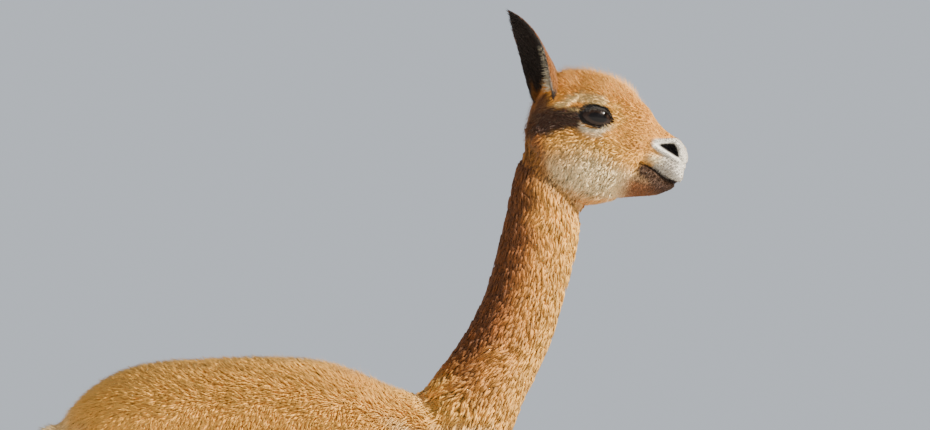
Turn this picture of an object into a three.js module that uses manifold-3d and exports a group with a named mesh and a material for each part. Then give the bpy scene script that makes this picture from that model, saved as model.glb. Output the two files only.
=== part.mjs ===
// A vicuna, life size, standing square and looking ahead over its shoulder line.
// Millimetres. +X is the way the body faces, +Y is the animal's left, +Z is up, and the soles stand on z = 0.
import * as THREE from 'three';
import { mergeVertices } from 'three/addons/utils/BufferGeometryUtils.js';
import Module from 'manifold-3d';

const wasm = await Module();
wasm.setup();

// Driving sizes
const BACK_HEIGHT = 868; // highest point of the loin, coat included
const RUMP_X = -388; // hindmost point of the buttocks
const BREAST_X = 326; // foremost point of the breast
const HEAD_PIVOT = [375, 0, 1190]; // where the skull sits on the neck
const HEAD_PITCH = 14; // degrees the face slopes down
const HEAD_YAW = 13; // degrees the face turns to the animal's right
const EAR_LENGTH = 142;
const EAR_ROOT = 22; // length of each ear sunk in the head's wool
const EAR_LEAN = { right: 38, left: 42 }; // degrees each ear leans back
const EAR_SPREAD = 14; // degrees the ears lean apart
const EYE_RADIUS = 22;
const SOCKET_GAP = 0.6; // room round the eye in its socket
const LID_THICKNESS = 2.6;
const PART_GAP = 0.3; // clear gap between neighbouring pieces
const FLEECE_DEPTH = 5; // the core lies this far under the outline that the clumps make
const HIDE = 0xc08a4e; // golden cinnamon coat
const DARK = 0x0c0a0a; // eyes
const HORN = 0x2b2420; // nails

const radians = THREE.MathUtils.degToRad;
const vector = (a) => new THREE.Vector3(...a);

// Small seeded generator, so that the coat varies the same way each time
let seed = 20240;
function vary(spread) {
  seed = (seed * 1664525 + 1013904223) % 4294967296;
  return 1 + spread * (2 * (seed / 4294967296) - 1);
}

// Closed geometries as solids, and back
function solid(geometry) {
  const bare = geometry.clone();
  bare.deleteAttribute('normal');
  bare.deleteAttribute('uv');
  const merged = mergeVertices(bare, 1e-3);
  const vertProperties = merged.attributes.position.array;
  const triVerts = new Uint32Array(merged.index.array);
  return new wasm.Manifold(new wasm.Mesh({ numProp: 3, vertProperties, triVerts }));
}

const join = (solids) => wasm.Manifold.union(solids);

function largest(made) {
  const pieces = made.decompose();
  return pieces.reduce((a, b) => (b.volume() > a.volume() ? b : a));
}

function geometryOf(made) {
  const mesh = made.getMesh();
  const geometry = new THREE.BufferGeometry();
  geometry.setAttribute('position', new THREE.BufferAttribute(new Float32Array(mesh.vertProperties), 3));
  geometry.setIndex(new THREE.BufferAttribute(new Uint32Array(mesh.triVerts), 1));
  geometry.computeVertexNormals();
  return geometry;
}

// One closed surface over a row of rings, each a list of as many points, turning the same way round.
// It ends in two points, by default the middles of the first and last ring.
function skinOver(rings, ends) {
  const n = rings[0].length;
  const points = rings.flat();
  const last = (rings.length - 1) * n;
  const middle = (ring) => ring.reduce((sum, p) => sum.add(p), new THREE.Vector3()).divideScalar(n);
  points.push(...(ends ?? [middle(rings[0]), middle(rings.at(-1))]));
  const index = [];
  for (let k = 0; k < n; k++) {
    const next = (k + 1) % n;
    for (let row = 0; row < last; row += n)
      index.push(row + k, row + next, row + n + next, row + k, row + n + next, row + n + k);
    index.push(points.length - 2, next, k, points.length - 1, last + k, last + next);
  }
  const geometry = new THREE.BufferGeometry().setFromPoints(points);
  geometry.setIndex(index);
  return geometry;
}

// A limb, neck or trunk: rounded sections strung along a curve. A station gives the section's centre,
// its reach above (up), below (down) and to each side, and how square it is (2 is an ellipse).
// Above is the back of the trunk, the nape of the neck and the front of a leg.
class Body {
  constructor(stations, { across = 20, along = 20, power = 2.2, swells = [] } = {}) {
    Object.assign(this, { across, along, power, swells });
    this.path = new THREE.CatmullRomCurve3(stations.map((s) => vector(s.at)));
    this.reach = new THREE.CatmullRomCurve3(
      stations.map((s) => new THREE.Vector3(s.up, s.down ?? s.up, s.side ?? s.up)), false, 'catmullrom', 0.5);
  }

  point(t, angle, margin = 0) {
    const side = new THREE.Vector3(0, 1, 0);
    const up = this.path.getTangent(t).cross(side).normalize();
    const reach = this.reach.getPoint(t).addScalar(margin);
    const c = Math.cos(angle);
    const s = Math.sin(angle);
    const bulge = (v) => Math.sign(v) * Math.abs(v) ** (2 / this.power);
    return this.path.getPoint(t)
      .addScaledVector(side, reach.z * bulge(c))
      .addScaledVector(up, (s > 0 ? reach.x : reach.y) * bulge(s));
  }

  // The same point raised or sunk by the soft swellings round it, each a place, a reach and a height
  swollen(t, angle, margin) {
    const point = this.point(t, angle, margin);
    const share = ({ at, reach }) => Math.exp(-((point.distanceTo(vector(at)) / reach) ** 2));
    const lift = this.swells.reduce((sum, swell) => sum + swell.height * share(swell), 0);
    return lift ? point.addScaledVector(this.outward(Math.min(0.97, Math.max(0.03, t)), angle), lift) : point;
  }

  // Outward direction of the surface at a point of it
  outward(t, angle) {
    const step = 0.01;
    const round = this.point(t, angle + step).sub(this.point(t, angle - step));
    const along = this.point(t + step, angle).sub(this.point(t - step, angle));
    return round.cross(along).normalize();
  }

  geometry(margin = 0) {
    const rings = [];
    for (let i = 0; i <= this.along; i++) {
      const ring = [];
      for (let k = 0; k < this.across; k++)
        ring.push(this.swollen(i / this.along, (2 * Math.PI * k) / this.across, margin));
      rings.push(ring);
    }
    return skinOver(rings);
  }

  solid(margin) {
    return solid(this.geometry(margin));
  }
}

// A ball stretched to three half sizes, turned about its own Z, Y and X by degrees, at a place in a frame
function ball(at, size, turn, frame, detail) {
  const geometry = new THREE.SphereGeometry(1, detail, Math.round(detail * 0.7));
  geometry.scale(...size);
  const turned = new THREE.Euler(...turn.map(radians), 'ZYX');
  geometry.applyMatrix4(new THREE.Matrix4().makeRotationFromEuler(turned));
  geometry.translate(...at);
  geometry.applyMatrix4(frame);
  return solid(geometry);
}

// A block whose lower face lies on a plane: everything on the side that the plane's direction points to.
// Its length runs as near to x as the plane allows.
function beyond(at, direction, [length, width, depth] = [3000, 3000, 3000], margin = 0) {
  const out = vector(direction).normalize();
  const wide = out.clone().cross(new THREE.Vector3(1, 0, 0));
  if (wide.length() < 0.1) wide.set(0, 1, 0);
  wide.normalize();
  const block = new THREE.BoxGeometry(length + 2 * margin, width + 2 * margin, depth + 2 * margin);
  block.translate(0, 0, depth / 2);
  block.applyMatrix4(new THREE.Matrix4().makeBasis(wide.clone().cross(out), wide, out));
  block.translate(...at);
  return solid(block);
}

// TRUNK
const trunk = new Body([
  { at: [RUMP_X, 0, 704], up: 10, side: 10 },
  { at: [RUMP_X + 11, 0, 704], up: 48, down: 56, side: 54 },
  { at: [RUMP_X + 38, 0, 702], up: 92, down: 88, side: 90 },
  { at: [-305, 0, 700], up: 133, down: 104, side: 116 },
  { at: [-250, 0, 702], up: 154, down: 110, side: 127 },
  { at: [-185, 0, 704], up: 158, down: 122, side: 132 },
  { at: [-95, 0, 698], up: 169, down: 152, side: 140 },
  { at: [0, 0, 690], up: BACK_HEIGHT - 690, down: 172, side: 145 },
  { at: [75, 0, 680], up: 173, down: 174, side: 143 },
  { at: [140, 0, 668], up: 152, down: 168, side: 133 },
  { at: [205, 0, 660], up: 144, down: 154, side: 119 },
  { at: [262, 0, 660], up: 124, down: 128, side: 99 },
  { at: [BREAST_X - 26, 0, 668], up: 86, down: 90, side: 72 },
  { at: [BREAST_X - 5, 0, 677], up: 42, down: 44, side: 36 },
  { at: [BREAST_X, 0, 680], up: 10, side: 8 },
], { across: 18, along: 18, power: 2.15 });

// NECK, from inside the breast up into the back of the skull
const neck = new Body([
  { at: [170, 0, 668], up: 70, down: 176, side: 100 },
  { at: [232, 0, 740], up: 78, down: 128, side: 94 },
  { at: [284, 0, 822], up: 73, down: 82, side: 76 },
  { at: [325, 0, 894], up: 62, down: 64, side: 60 },
  { at: [351, 0, 960], up: 56, down: 58, side: 52 },
  { at: [364, 0, 1028], up: 53, down: 55, side: 48 },
  { at: [373, 0, 1085], up: 48, down: 66, side: 47 },
  { at: [383, 0, 1140], up: 46, down: 84, side: 48 },
  { at: [393, 0, 1195], up: 45, down: 74, side: 46 },
  { at: [400, 0, 1235], up: 40, down: 46, side: 38 },
  { at: [404, 0, 1256], up: 16, down: 16, side: 14 },
], { across: 16, along: 14, power: 2.1 });

// LEGS. side is -1 for the right and 1 for the left; step moves the foot forward
function foreleg(side, step) {
  const y = (v) => side * v;
  return new Body([
    { at: [200, y(58), 738], up: 42, down: 48, side: 32 },
    { at: [202, y(79), 672], up: 62, down: 70, side: 41 },
    { at: [203, y(88), 592], up: 58, down: 64, side: 37 },
    { at: [194 + step * 0.2, y(88), 522], up: 45, down: 47, side: 32 },
    { at: [196 + step * 0.4, y(85), 445], up: 34, down: 33, side: 28 },
    { at: [204 + step * 0.6, y(81), 350], up: 24, down: 24, side: 23 },
    { at: [208 + step * 0.7, y(79), 295], up: 25, down: 22, side: 24 },
    { at: [206 + step * 0.8, y(78), 250], up: 19, down: 20, side: 19 },
    { at: [203 + step * 0.9, y(77), 160], up: 15.5, down: 18, side: 15.5 },
    { at: [201 + step, y(76), 94], up: 19, down: 23, side: 19 },
    { at: [208 + step, y(76), 58], up: 19, down: 21, side: 21 },
    { at: [214 + step, y(76), 30], up: 15, down: 20, side: 20 },
  ], { across: 10, along: 18, power: 2.1 });
}

function hindleg(side, step) {
  const y = (v) => side * v;
  return new Body([
    { at: [-292, y(54), 768], up: 56, down: 48, side: 38 },
    { at: [-288, y(74), 700], up: 90, down: 80, side: 51 },
    { at: [-276, y(87), 620], up: 94, down: 92, side: 50 },
    { at: [-258, y(94), 552], up: 70, down: 76, side: 43 },
    { at: [-268 + step * 0.1, y(95), 485], up: 48, down: 46, side: 34 },
    { at: [-304 + step * 0.3, y(91), 408], up: 34, down: 30, side: 26 },
    { at: [-336 + step * 0.5, y(87), 345], up: 29, down: 24, side: 22 },
    { at: [-346 + step * 0.6, y(85), 298], up: 27, down: 25, side: 22 },
    { at: [-344 + step * 0.7, y(83), 250], up: 20, down: 22, side: 18 },
    { at: [-340 + step * 0.9, y(81), 165], up: 16.5, down: 19, side: 16 },
    { at: [-338 + step, y(80), 94], up: 19, down: 24, side: 19 },
    { at: [-330 + step, y(80), 58], up: 19, down: 21, side: 21 },
    { at: [-324 + step, y(80), 30], up: 15, down: 20, side: 20 },
  ], { across: 10, along: 19, power: 2.1 });
}

// Two padded toes side by side, each ending in a nail. The cloven foot stands flat on z = 0.
const TOE_SPLAY = 12.5; // from the middle of the foot to the middle of a toe
const TOE_LENGTH = 46; // from the middle of the foot to the tip
const NAIL_SLANT = 32; // degrees the root of the nail leans back
const NAIL_LENGTH = 14;
const toeFrame = (x, y, side) => new THREE.Matrix4().makeTranslation(x, y + side * TOE_SPLAY, 0)
  .multiply(new THREE.Matrix4().makeRotationZ(radians(side * 4)));
const toe = new Body([
  { at: [-31, 0, 13], up: 5, down: 15, side: 5 },
  { at: [-24, 0, 15], up: 15, down: 19, side: 11 },
  { at: [-2, 0, 18], up: 20, down: 22, side: 14 },
  { at: [20, 0, 16], up: 16, down: 20, side: 14 },
  { at: [TOE_LENGTH - NAIL_LENGTH, 0, 12], up: 11, down: 16, side: 11.5 },
  { at: [TOE_LENGTH - 3, 0, 7.5], up: 6, down: 10, side: 6 },
  { at: [TOE_LENGTH, 0, 6], up: 2, down: 5, side: 2.5 },
], { across: 8, along: 5, power: 2.4 });

// TAIL, hanging close behind the rump
const tailCore = new Body([
  { at: [RUMP_X + 40, 0, 754], up: 22, down: 26, side: 26 },
  { at: [RUMP_X + 6, 0, 742], up: 24, down: 26, side: 29 },
  { at: [RUMP_X - 14, 0, 700], up: 21, down: 20, side: 32 },
  { at: [RUMP_X - 20, 0, 645], up: 19, down: 19, side: 31 },
  { at: [RUMP_X - 19, 0, 590], up: 14, down: 14, side: 22 },
  { at: [RUMP_X - 17, 0, 556], up: 5, down: 5, side: 8 },
], { across: 12, along: 10 });

// HEAD, in its own frame: x along the face to the lips, y to the animal's left, z square to the face
const headFrame = new THREE.Matrix4().makeTranslation(...HEAD_PIVOT)
  .multiply(new THREE.Matrix4().makeRotationZ(radians(-HEAD_YAW)))
  .multiply(new THREE.Matrix4().makeRotationY(radians(HEAD_PITCH)));

const bothSides = (swells) => swells.flatMap(({ at: [x, y, z], ...rest }) =>
  [{ at: [x, y, z], ...rest }, { at: [x, -y, z], ...rest }]);

// Skull, cheeks and upper jaw down to the mouth line
const face = new Body([
  { at: [-29, 0, 33], up: 16, down: 14, side: 12 },
  { at: [-26, 0, 33], up: 42, down: 42, side: 29 },
  { at: [-16, 0, 32.5], up: 70, down: 72, side: 43 },
  { at: [8, 0, 32], up: 90, down: 96, side: 53 },
  { at: [40, 0, 31.5], up: 97, down: 106, side: 56 },
  { at: [74, 0, 31], up: 99, down: 109, side: 55 },
  { at: [100, 0, 30.5], up: 93, down: 106, side: 49 },
  { at: [124, 0, 30], up: 82, down: 94, side: 41.5 },
  { at: [142, 0, 30], up: 69, down: 80, side: 35 },
  { at: [153, 0, 29.5], up: 60, down: 56, side: 31 },
  { at: [163, 0, 29], up: 50, down: 27, side: 28 },
  { at: [178, 0, 28], up: 40, down: 27, side: 25.5 },
  { at: [192, 0, 26], up: 35, down: 30, side: 25 },
  { at: [205, 0, 23.5], up: 31, down: 28.5, side: 23.5 },
  { at: [217, 0, 20.5], up: 24, down: 25, side: 18.5 },
  { at: [225, 0, 18], up: 13, down: 18, side: 11 },
  { at: [228, 0, 16.5], up: 5, down: 9, side: 4 },
], { across: 24, along: 30, power: 2.15, swells: [
  ...bothSides([
    { at: [78, 44, 84], reach: 24, height: 6 }, // brow
    { at: [74, 52, 40], reach: 20, height: 3 }, // rim of the socket below the eye
    { at: [112, 38, 62], reach: 17, height: -3.5 }, // hollow before the eye
    { at: [92, 50, 28], reach: 24, height: 4 }, // cheekbone
    { at: [50, 52, -14], reach: 36, height: 5 }, // jaw muscle
    { at: [206, 16, 50], reach: 12, height: 4.5 }, // wing of the nostril
    { at: [212, 19, 8], reach: 13, height: 5 }, // upper lip lobe
    { at: [176, 26, 14], reach: 13, height: 2.5 }, // fold behind the lip
    { at: [-6, 40, 100], reach: 20, height: 7 }, // root of the ear
  ]),
  { at: [40, 0, 130], reach: 40, height: 3 }, // wool on the forehead
  { at: [229, 0, 6], reach: 7, height: -7 }, // cleft of the upper lip
  { at: [222, 0, 22], reach: 7, height: -4 },
] });

// Lower jaw, shorter than the upper lip that hangs over it
const jaw = new Body([
  { at: [96, 0, -20], up: 24, down: 36, side: 28 },
  { at: [128, 0, -19], up: 32, down: 37, side: 31 },
  { at: [152, 0, -19], up: 36, down: 31, side: 29 },
  { at: [174, 0, -20], up: 31, down: 22, side: 25.5 },
  { at: [192, 0, -18], up: 25, down: 17, side: 21.5 },
  { at: [204, 0, -15.5], up: 17, down: 11, side: 15 },
  { at: [212, 0, -12], up: 12, down: 8, side: 9 },
  { at: [215, 0, -10], up: 5, down: 4, side: 4 },
], { across: 14, along: 12, power: 2.25 });

const inHead = (body) => solid(body.geometry().applyMatrix4(headFrame));

const EYE_AT = [76, 36, 61];
// The almond between the lids, its inner corner forward and low
function lidOpening(side) {
  const almond = new THREE.Shape();
  almond.moveTo(-24, 3);
  almond.bezierCurveTo(-15, 17, 12, 17, 26, -7);
  almond.bezierCurveTo(12, -16, -14, -16, -24, 3);
  const cut = new THREE.ExtrudeGeometry(almond, { depth: 30, bevelEnabled: false, curveSegments: 6 });
  cut.rotateX(Math.PI / 2); // the shape's own up is now the head's up, and its depth runs to -y
  cut.translate(0, -10, 0);
  cut.rotateZ(radians(14)); // the eye looks a little forward
  if (side > 0) {
    cut.scale(1, -1, 1);
    cut.index = null;
    const p = cut.attributes.position;
    for (let i = 0; i < p.count; i += 3) {
      const [b, c] = [i + 1, i + 2].map((corner) => new THREE.Vector3().fromBufferAttribute(p, corner));
      p.setXYZ(i + 1, ...c.toArray());
      p.setXYZ(i + 2, ...b.toArray());
    }
  }
  cut.translate(EYE_AT[0], side * EYE_AT[1], EYE_AT[2]);
  return solid(cut.applyMatrix4(headFrame));
}

// Eye, socket and lids are balls about one middle, with the same facets, so that none cuts into another
function eyeball(side, radius) {
  return ball([EYE_AT[0], side * EYE_AT[1], EYE_AT[2]], [radius, radius, radius], [0, 0, 0], headFrame, 12);
}

// The line between the lips, as a groove round the muzzle
function mouthLine() {
  const side = [[155, 29, 4], [168, 27.5, 3], [182, 26, -1], [196, 24, -4.5], [208, 18, -5.5], [216, 9, -4]];
  const line = [...side.map(([x, y, z]) => [x, -y, z]), [218, 0, -3], ...side.toReversed()];
  const path = new THREE.CatmullRomCurve3(line.map(vector));
  const round = new THREE.Shape().absarc(0, 0, 2.4, 0, Math.PI * 2);
  const groove = new THREE.ExtrudeGeometry(round, { steps: 14, extrudePath: path, curveSegments: 2 });
  return solid(groove.applyMatrix4(headFrame));
}

// EARS, each a lance-shaped cup with its hollow turned out and back
function ear(side, lean) {
  const base = new THREE.Vector3(-5, side * 33, 82);
  const axis = new THREE.Vector3(-Math.sin(radians(lean)), side * Math.sin(radians(EAR_SPREAD)),
    Math.cos(radians(lean))).normalize();
  const opening = new THREE.Vector3(-0.62, side * 0.78, -0.1);
  opening.addScaledVector(axis, -opening.dot(axis)).normalize();
  const across = axis.clone().cross(opening).normalize().multiplyScalar(side);
  const rows = 10;
  const arc = 7;
  const rings = [];
  for (let i = 0; i <= rows; i++) {
    const t = i / rows;
    const width = 27 * Math.sin(Math.PI * (0.16 + t * 0.84)) ** 0.62 * (1 - 0.06 * t) + 0.6;
    const wrap = radians(THREE.MathUtils.lerp(132, 58, Math.min(1, t * 1.5)));
    const wall = Math.max(0.9, THREE.MathUtils.lerp(4.6, 2.2, t), width * (1 - t * 9));
    const middle = base.clone()
      .addScaledVector(axis, t * (EAR_LENGTH + EAR_ROOT) - EAR_ROOT)
      .addScaledVector(opening, 9 * t * t - 4 * t);
    const radius = width / Math.max(0.75, Math.sin(Math.min(wrap, Math.PI / 2)));
    const centre = middle.clone().addScaledVector(opening, -width * 0.35 + radius * 0.62);
    const at = (angle, r) => centre.clone()
      .addScaledVector(opening, -Math.cos(angle) * r)
      .addScaledVector(across, Math.sin(angle) * r);
    const ring = [];
    for (let k = 0; k <= arc; k++) ring.push(at(THREE.MathUtils.lerp(-wrap, wrap, k / arc), radius));
    for (let k = arc; k >= 0; k--) {
      const edge = Math.abs((2 * k) / arc - 1);
      const depth = Math.min(wall, radius * 0.8) * (1 - 0.45 * edge ** 3);
      ring.push(at(THREE.MathUtils.lerp(-wrap, wrap, k / arc) * 0.97, radius - depth));
    }
    rings.push(side > 0 ? ring.reverse() : ring);
  }
  return capped(rings, arc).applyMatrix4(headFrame);
}

// Rings that are bent strips are closed at each end by a strip of faces between their two edges
function capped(rings, arc) {
  const n = rings[0].length;
  const points = rings.flat();
  const last = (rings.length - 1) * n;
  const index = [];
  for (let k = 0; k < n; k++) {
    const next = (k + 1) % n;
    for (let row = 0; row < last; row += n)
      index.push(row + k, row + next, row + n + next, row + k, row + n + next, row + n + k);
  }
  for (let k = 0; k < arc; k++) {
    const far = n - 1 - k;
    index.push(k, far, far - 1, k, far - 1, k + 1);
    index.push(last + k, last + far - 1, last + far, last + k, last + k + 1, last + far - 1);
  }
  const geometry = new THREE.BufferGeometry().setFromPoints(points);
  geometry.setIndex(index);
  return geometry;
}

// The head with its lips, nostrils, lids and brows
function headWhole() {
  const add = [inHead(face), inHead(jaw)];
  const cut = [mouthLine()];
  for (const side of [-1, 1]) {
    const part = (at, size, turn) =>
      ball([at[0], side * at[1], at[2]], size, [turn[0], turn[1], side * turn[2]], headFrame, 8);
    add.push(eyeball(side, EYE_RADIUS + LID_THICKNESS));
    cut.push(eyeball(side, EYE_RADIUS + SOCKET_GAP));
    cut.push(lidOpening(side));
    cut.push(part([203, 20, 44], [15, 7, 6], [14, 30, -24])); // nostril
    cut.push(part([215, 15, 32], [12, 5, 3], [10, 62, -30])); // its slit running down to the lip
  }
  return join(add).subtract(join(cut));
}

// COAT. A strand is a flat, tapered lock or a rounded clump: sections along a path, each with its place,
// the way its flat face looks, its width and its thickness. Its root, a point, is sunk in the body, and it
// ends in a point in the open.
function strand(stations, sides) {
  const rings = stations.slice(1, -1).map(({ at, out, width, thick }, i) => {
    const along = stations[i + 2].at.clone().sub(stations[i].at).normalize();
    const side = out.clone().cross(along).normalize();
    const up = along.clone().cross(side);
    return Array.from({ length: sides }, (_, k) => {
      const angle = Math.PI * ((2 * k) / sides + (sides % 2 ? 0.5 : 0));
      return at.clone()
        .addScaledVector(side, (width / 2) * Math.cos(angle))
        .addScaledVector(up, (thick / 2) * Math.sin(angle));
    });
  });
  return solid(skinOver(rings, [stations[0].at, stations.at(-1).at]));
}

// Fleece: rounded clumps in staggered rows over a body between two angles, each lying down the body over
// the next. The rows take the body's length between two shares of it; turn is the drift of the lie downwards.
const OVERLAP = 1.1; // length and width of a clump against the room it has
function fleece(body, { from, to, rows, around, low = -90, high = 270, turn = 0 }) {
  const share = (to - from) / (rows - 1);
  const between = radians(high - low) / around;
  const clumps = [];
  for (let row = 0; row < rows; row++)
    for (let k = 0; k < around; k++) {
      const root = from + row * share * vary(0.03);
      const angle = radians(low) + between * (k + (row % 2 ? 0.75 : 0.25)) * vary(0.01);
      const length = share * OVERLAP * vary(0.12);
      const crest = 4 * vary(0.3); // height of the clump's middle over the outline, before its half thickness
      const station = (part, lift, wide = 0, thick = 0) => {
        const t = Math.max(0.015, body.path.getUtoTmapping(Math.max(0.005, root - part * length)));
        const a = angle - part * turn * Math.cos(angle);
        const out = body.outward(t, a);
        const room = body.point(t, a - between / 2).distanceTo(body.point(t, a + between / 2));
        const width = room * OVERLAP * wide * vary(0.08);
        return { at: body.point(t, a).addScaledVector(out, lift), out, width, thick };
      };
      clumps.push(strand([
        station(-0.1, -13),
        station(0.28, crest - 8, 0.95, 17),
        station(0.78, crest - 8, 0.85, 16),
        station(1.08, crest - 9),
      ], 5));
    }
  return clumps;
}

// A long lock that leaves the body and hangs
function lock(root, out, { length, width, swing = 14 }) {
  const down = new THREE.Vector3(0, 0, -1);
  const flat = new THREE.Vector3(out.x, out.y, 0).normalize();
  const reach = length * vary(0.12);
  const w = width * vary(0.2);
  const sway = flat.clone().cross(down).multiplyScalar((vary(1) - 1) * 9);
  const station = (share, lift, wide, thick) => {
    const at = root.clone().addScaledVector(down, share * reach).addScaledVector(flat, lift);
    return { at: at.addScaledVector(sway, share), out: flat, width: wide, thick };
  };
  return strand([
    { at: root.clone().addScaledVector(out, -16) },
    station(0.12, swing * 0.5, w * 0.8, 13),
    station(0.4, swing, w, 11),
    station(0.75, swing * 0.7, w * 0.72, 8),
    station(1, 0),
  ], 4);
}

const group = new THREE.Group();
function node(name, made, color = HIDE, roughness = 0.9) {
  const material = new THREE.MeshStandardMaterial({ color, roughness });
  const mesh = new THREE.Mesh(geometryOf(largest(made)), material);
  mesh.name = name;
  group.add(mesh);
}

// Each cut is a place and a direction: what lies beyond it belongs to the piece further from the trunk
const CUTS = {
  head: { at: [345, 0, 1198], out: [0.79, 0, 0.61] },
  neck: { at: [232, 0, 842], out: [0.72, 0, 0.69] },
  tail: { at: [RUMP_X + 2, 0, 744], out: [-0.94, 0, -0.34] },
  foreleg: { at: [200, 0, 560], out: [-0.12, 0, -1] },
  hindleg: { at: [-285, 0, 655], out: [0.42, 0, -0.91] },
  foot: { at: [0, 0, 70], out: [0, 0, -1] },
};
const past = (cut, margin) => beyond(CUTS[cut].at, CUTS[cut].out, undefined, margin);
const ground = beyond([0, 0, 0], [0, 0, -1]);

const neckCore = neck.solid(-FLEECE_DEPTH);
const head = join([headWhole(), neckCore]).intersect(past('head'));
node('head', head);
for (const side of [-1, 1]) {
  const word = side < 0 ? 'right' : 'left';
  const lift = vector([-0.66, 0, 0.75]).multiplyScalar(PART_GAP).toArray();
  node('ear_' + word, solid(ear(side, EAR_LEAN[word])).subtract(head).subtract(head.translate(...lift)));
  node('eye_' + word, eyeball(side, EYE_RADIUS), DARK, 0.1);
}

const trunkCore = (margin = 0) => trunk.solid(margin - FLEECE_DEPTH);
const neckClumps = fleece(neck, { from: 0.26, to: 0.89, rows: 7, around: 6 });
const trunkRows = { from: 0.1, to: 0.92, rows: 7, around: 6, low: -28, high: 208, turn: 0.12 };
const trunkClumps = fleece(trunk, trunkRows);
const neckAndTrunk = join([trunkCore(), join([neckCore, ...neckClumps]).subtract(past('head', PART_GAP))]);
node('neck', join([neckAndTrunk, ...trunkClumps]).intersect(past('neck')));

// Bib of long locks on the lower breast, in rows from between the forelegs up to the foot of the neck
const bib = [];
for (const { body, t, middle, spread, count, ...size } of [
  { body: trunk, t: 0.79, middle: -90, spread: 22, count: 3, length: 88, width: 34 },
  { body: trunk, t: 0.845, middle: -90, spread: 48, count: 4, length: 118, width: 40 },
  { body: trunk, t: 0.9, middle: -90, spread: 60, count: 4, length: 135, width: 40 },
  { body: trunk, t: 0.95, middle: -70, spread: 110, count: 5, length: 130, width: 38, swing: 6 },
  { body: neck, t: 0.12, middle: -90, spread: 44, count: 3, length: 104, width: 38, swing: 4 },
])
  for (let k = 0; k < count; k++) {
    const angle = radians(middle + spread * ((2 * (k + 0.5)) / count - 1) * vary(0.08));
    bib.push(lock(body.point(t, angle), body.outward(t, angle), size));
  }

// Locks of the tail, down its back and sides and past its tip
const brush = [];
for (const { t, count, length, width } of [
  { t: 0.3, count: 3, length: 100, width: 38 },
  { t: 0.52, count: 4, length: 92, width: 33 },
  { t: 0.74, count: 3, length: 80, width: 31 },
])
  for (let k = 0; k < count; k++) {
    const angle = radians(-195 + (210 * (k + 0.5)) / count);
    brush.push(lock(tailCore.point(t, angle), tailCore.outward(t, angle), { length, width, swing: 5 }));
  }

// The nail of a toe is what lies beyond a slanting plane near its tip. The block that takes it off is no
// wider than one toe and no taller than the foot.
const NAIL_BLOCK = [60, 24, 64];
const nailCut = (frame, margin) => {
  const [length, width, height] = NAIL_BLOCK;
  const block = new THREE.BoxGeometry(length + margin, width + 2 * margin, height + 2 * margin);
  block.translate((length - margin) / 2, 0, -6);
  block.rotateY(radians(-NAIL_SLANT));
  block.translate(TOE_LENGTH - NAIL_LENGTH, 0, 9);
  return solid(block.applyMatrix4(frame));
};

const LEGS = [
  { name: 'foreleg_right', side: -1, build: foreleg, step: 0, at: [219, 76], cut: 'foreleg' },
  { name: 'foreleg_left', side: 1, build: foreleg, step: 22, at: [241, 76], cut: 'foreleg' },
  { name: 'hindleg_right', side: -1, build: hindleg, step: 0, at: [-319, 80], cut: 'hindleg' },
  { name: 'hindleg_left', side: 1, build: hindleg, step: -38, at: [-357, 80], cut: 'hindleg' },
];
const shoulders = [];
const legsGrown = [];
for (const { name, side, build, step, at, cut } of LEGS) {
  const limb = build(side, step);
  const toes = [-1, 1].map((inner) => ({ inner, frame: toeFrame(at[0], side * at[1], inner) }));
  const toeSolids = toes.map(({ frame }) => solid(toe.geometry().applyMatrix4(frame)));
  const whole = join([limb.solid(), ...toeSolids]).subtract(ground);
  shoulders.push(limb.solid().subtract(past(cut, PART_GAP)));
  legsGrown.push(limb.solid(PART_GAP).intersect(past(cut, PART_GAP)));
  const lower = whole.intersect(past(cut)).subtract(trunkCore(PART_GAP));
  node(name, lower.subtract(past('foot', PART_GAP)));
  const place = name.replace('leg', '');
  const nailCuts = join(toes.map(({ frame }) => nailCut(frame, PART_GAP)));
  node('foot_' + place, lower.intersect(past('foot')).subtract(nailCuts));
  toes.forEach(({ inner, frame }, i) => {
    const word = inner === side ? 'outer' : 'inner';
    node(`nail_${place}_${word}`, toeSolids[i].subtract(ground).intersect(nailCut(frame, 0)), HORN, 0.5);
  });
}
const tail = join([tailCore.solid(), ...brush]);
node('tail', tail.intersect(past('tail')).subtract(trunkCore(PART_GAP)));
const tailGrown = tailCore.solid(PART_GAP).intersect(past('tail', PART_GAP));
const coat = join([...trunkClumps, ...bib]).subtract(join([...legsGrown, tailGrown]));
const torso = join([neckAndTrunk, coat]).subtract(past('neck', PART_GAP));
node('torso', join([torso, ...shoulders, tailCore.solid().subtract(past('tail', PART_GAP))]));

// The origin is on the floor, under the middle of the whole animal
const reach = new THREE.Box3().setFromObject(group);
const middle = reach.getCenter(new THREE.Vector3());
group.position.set(-middle.x, -middle.y, -reach.min.z);
export default group;
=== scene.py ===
# A vicuna, life size, standing square and looking ahead. Metres; X is the way the body faces, Y its left.
import math

import bpy
import numpy as np
from mathutils import Matrix, Vector
from mathutils.kdtree import KDTree


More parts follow.
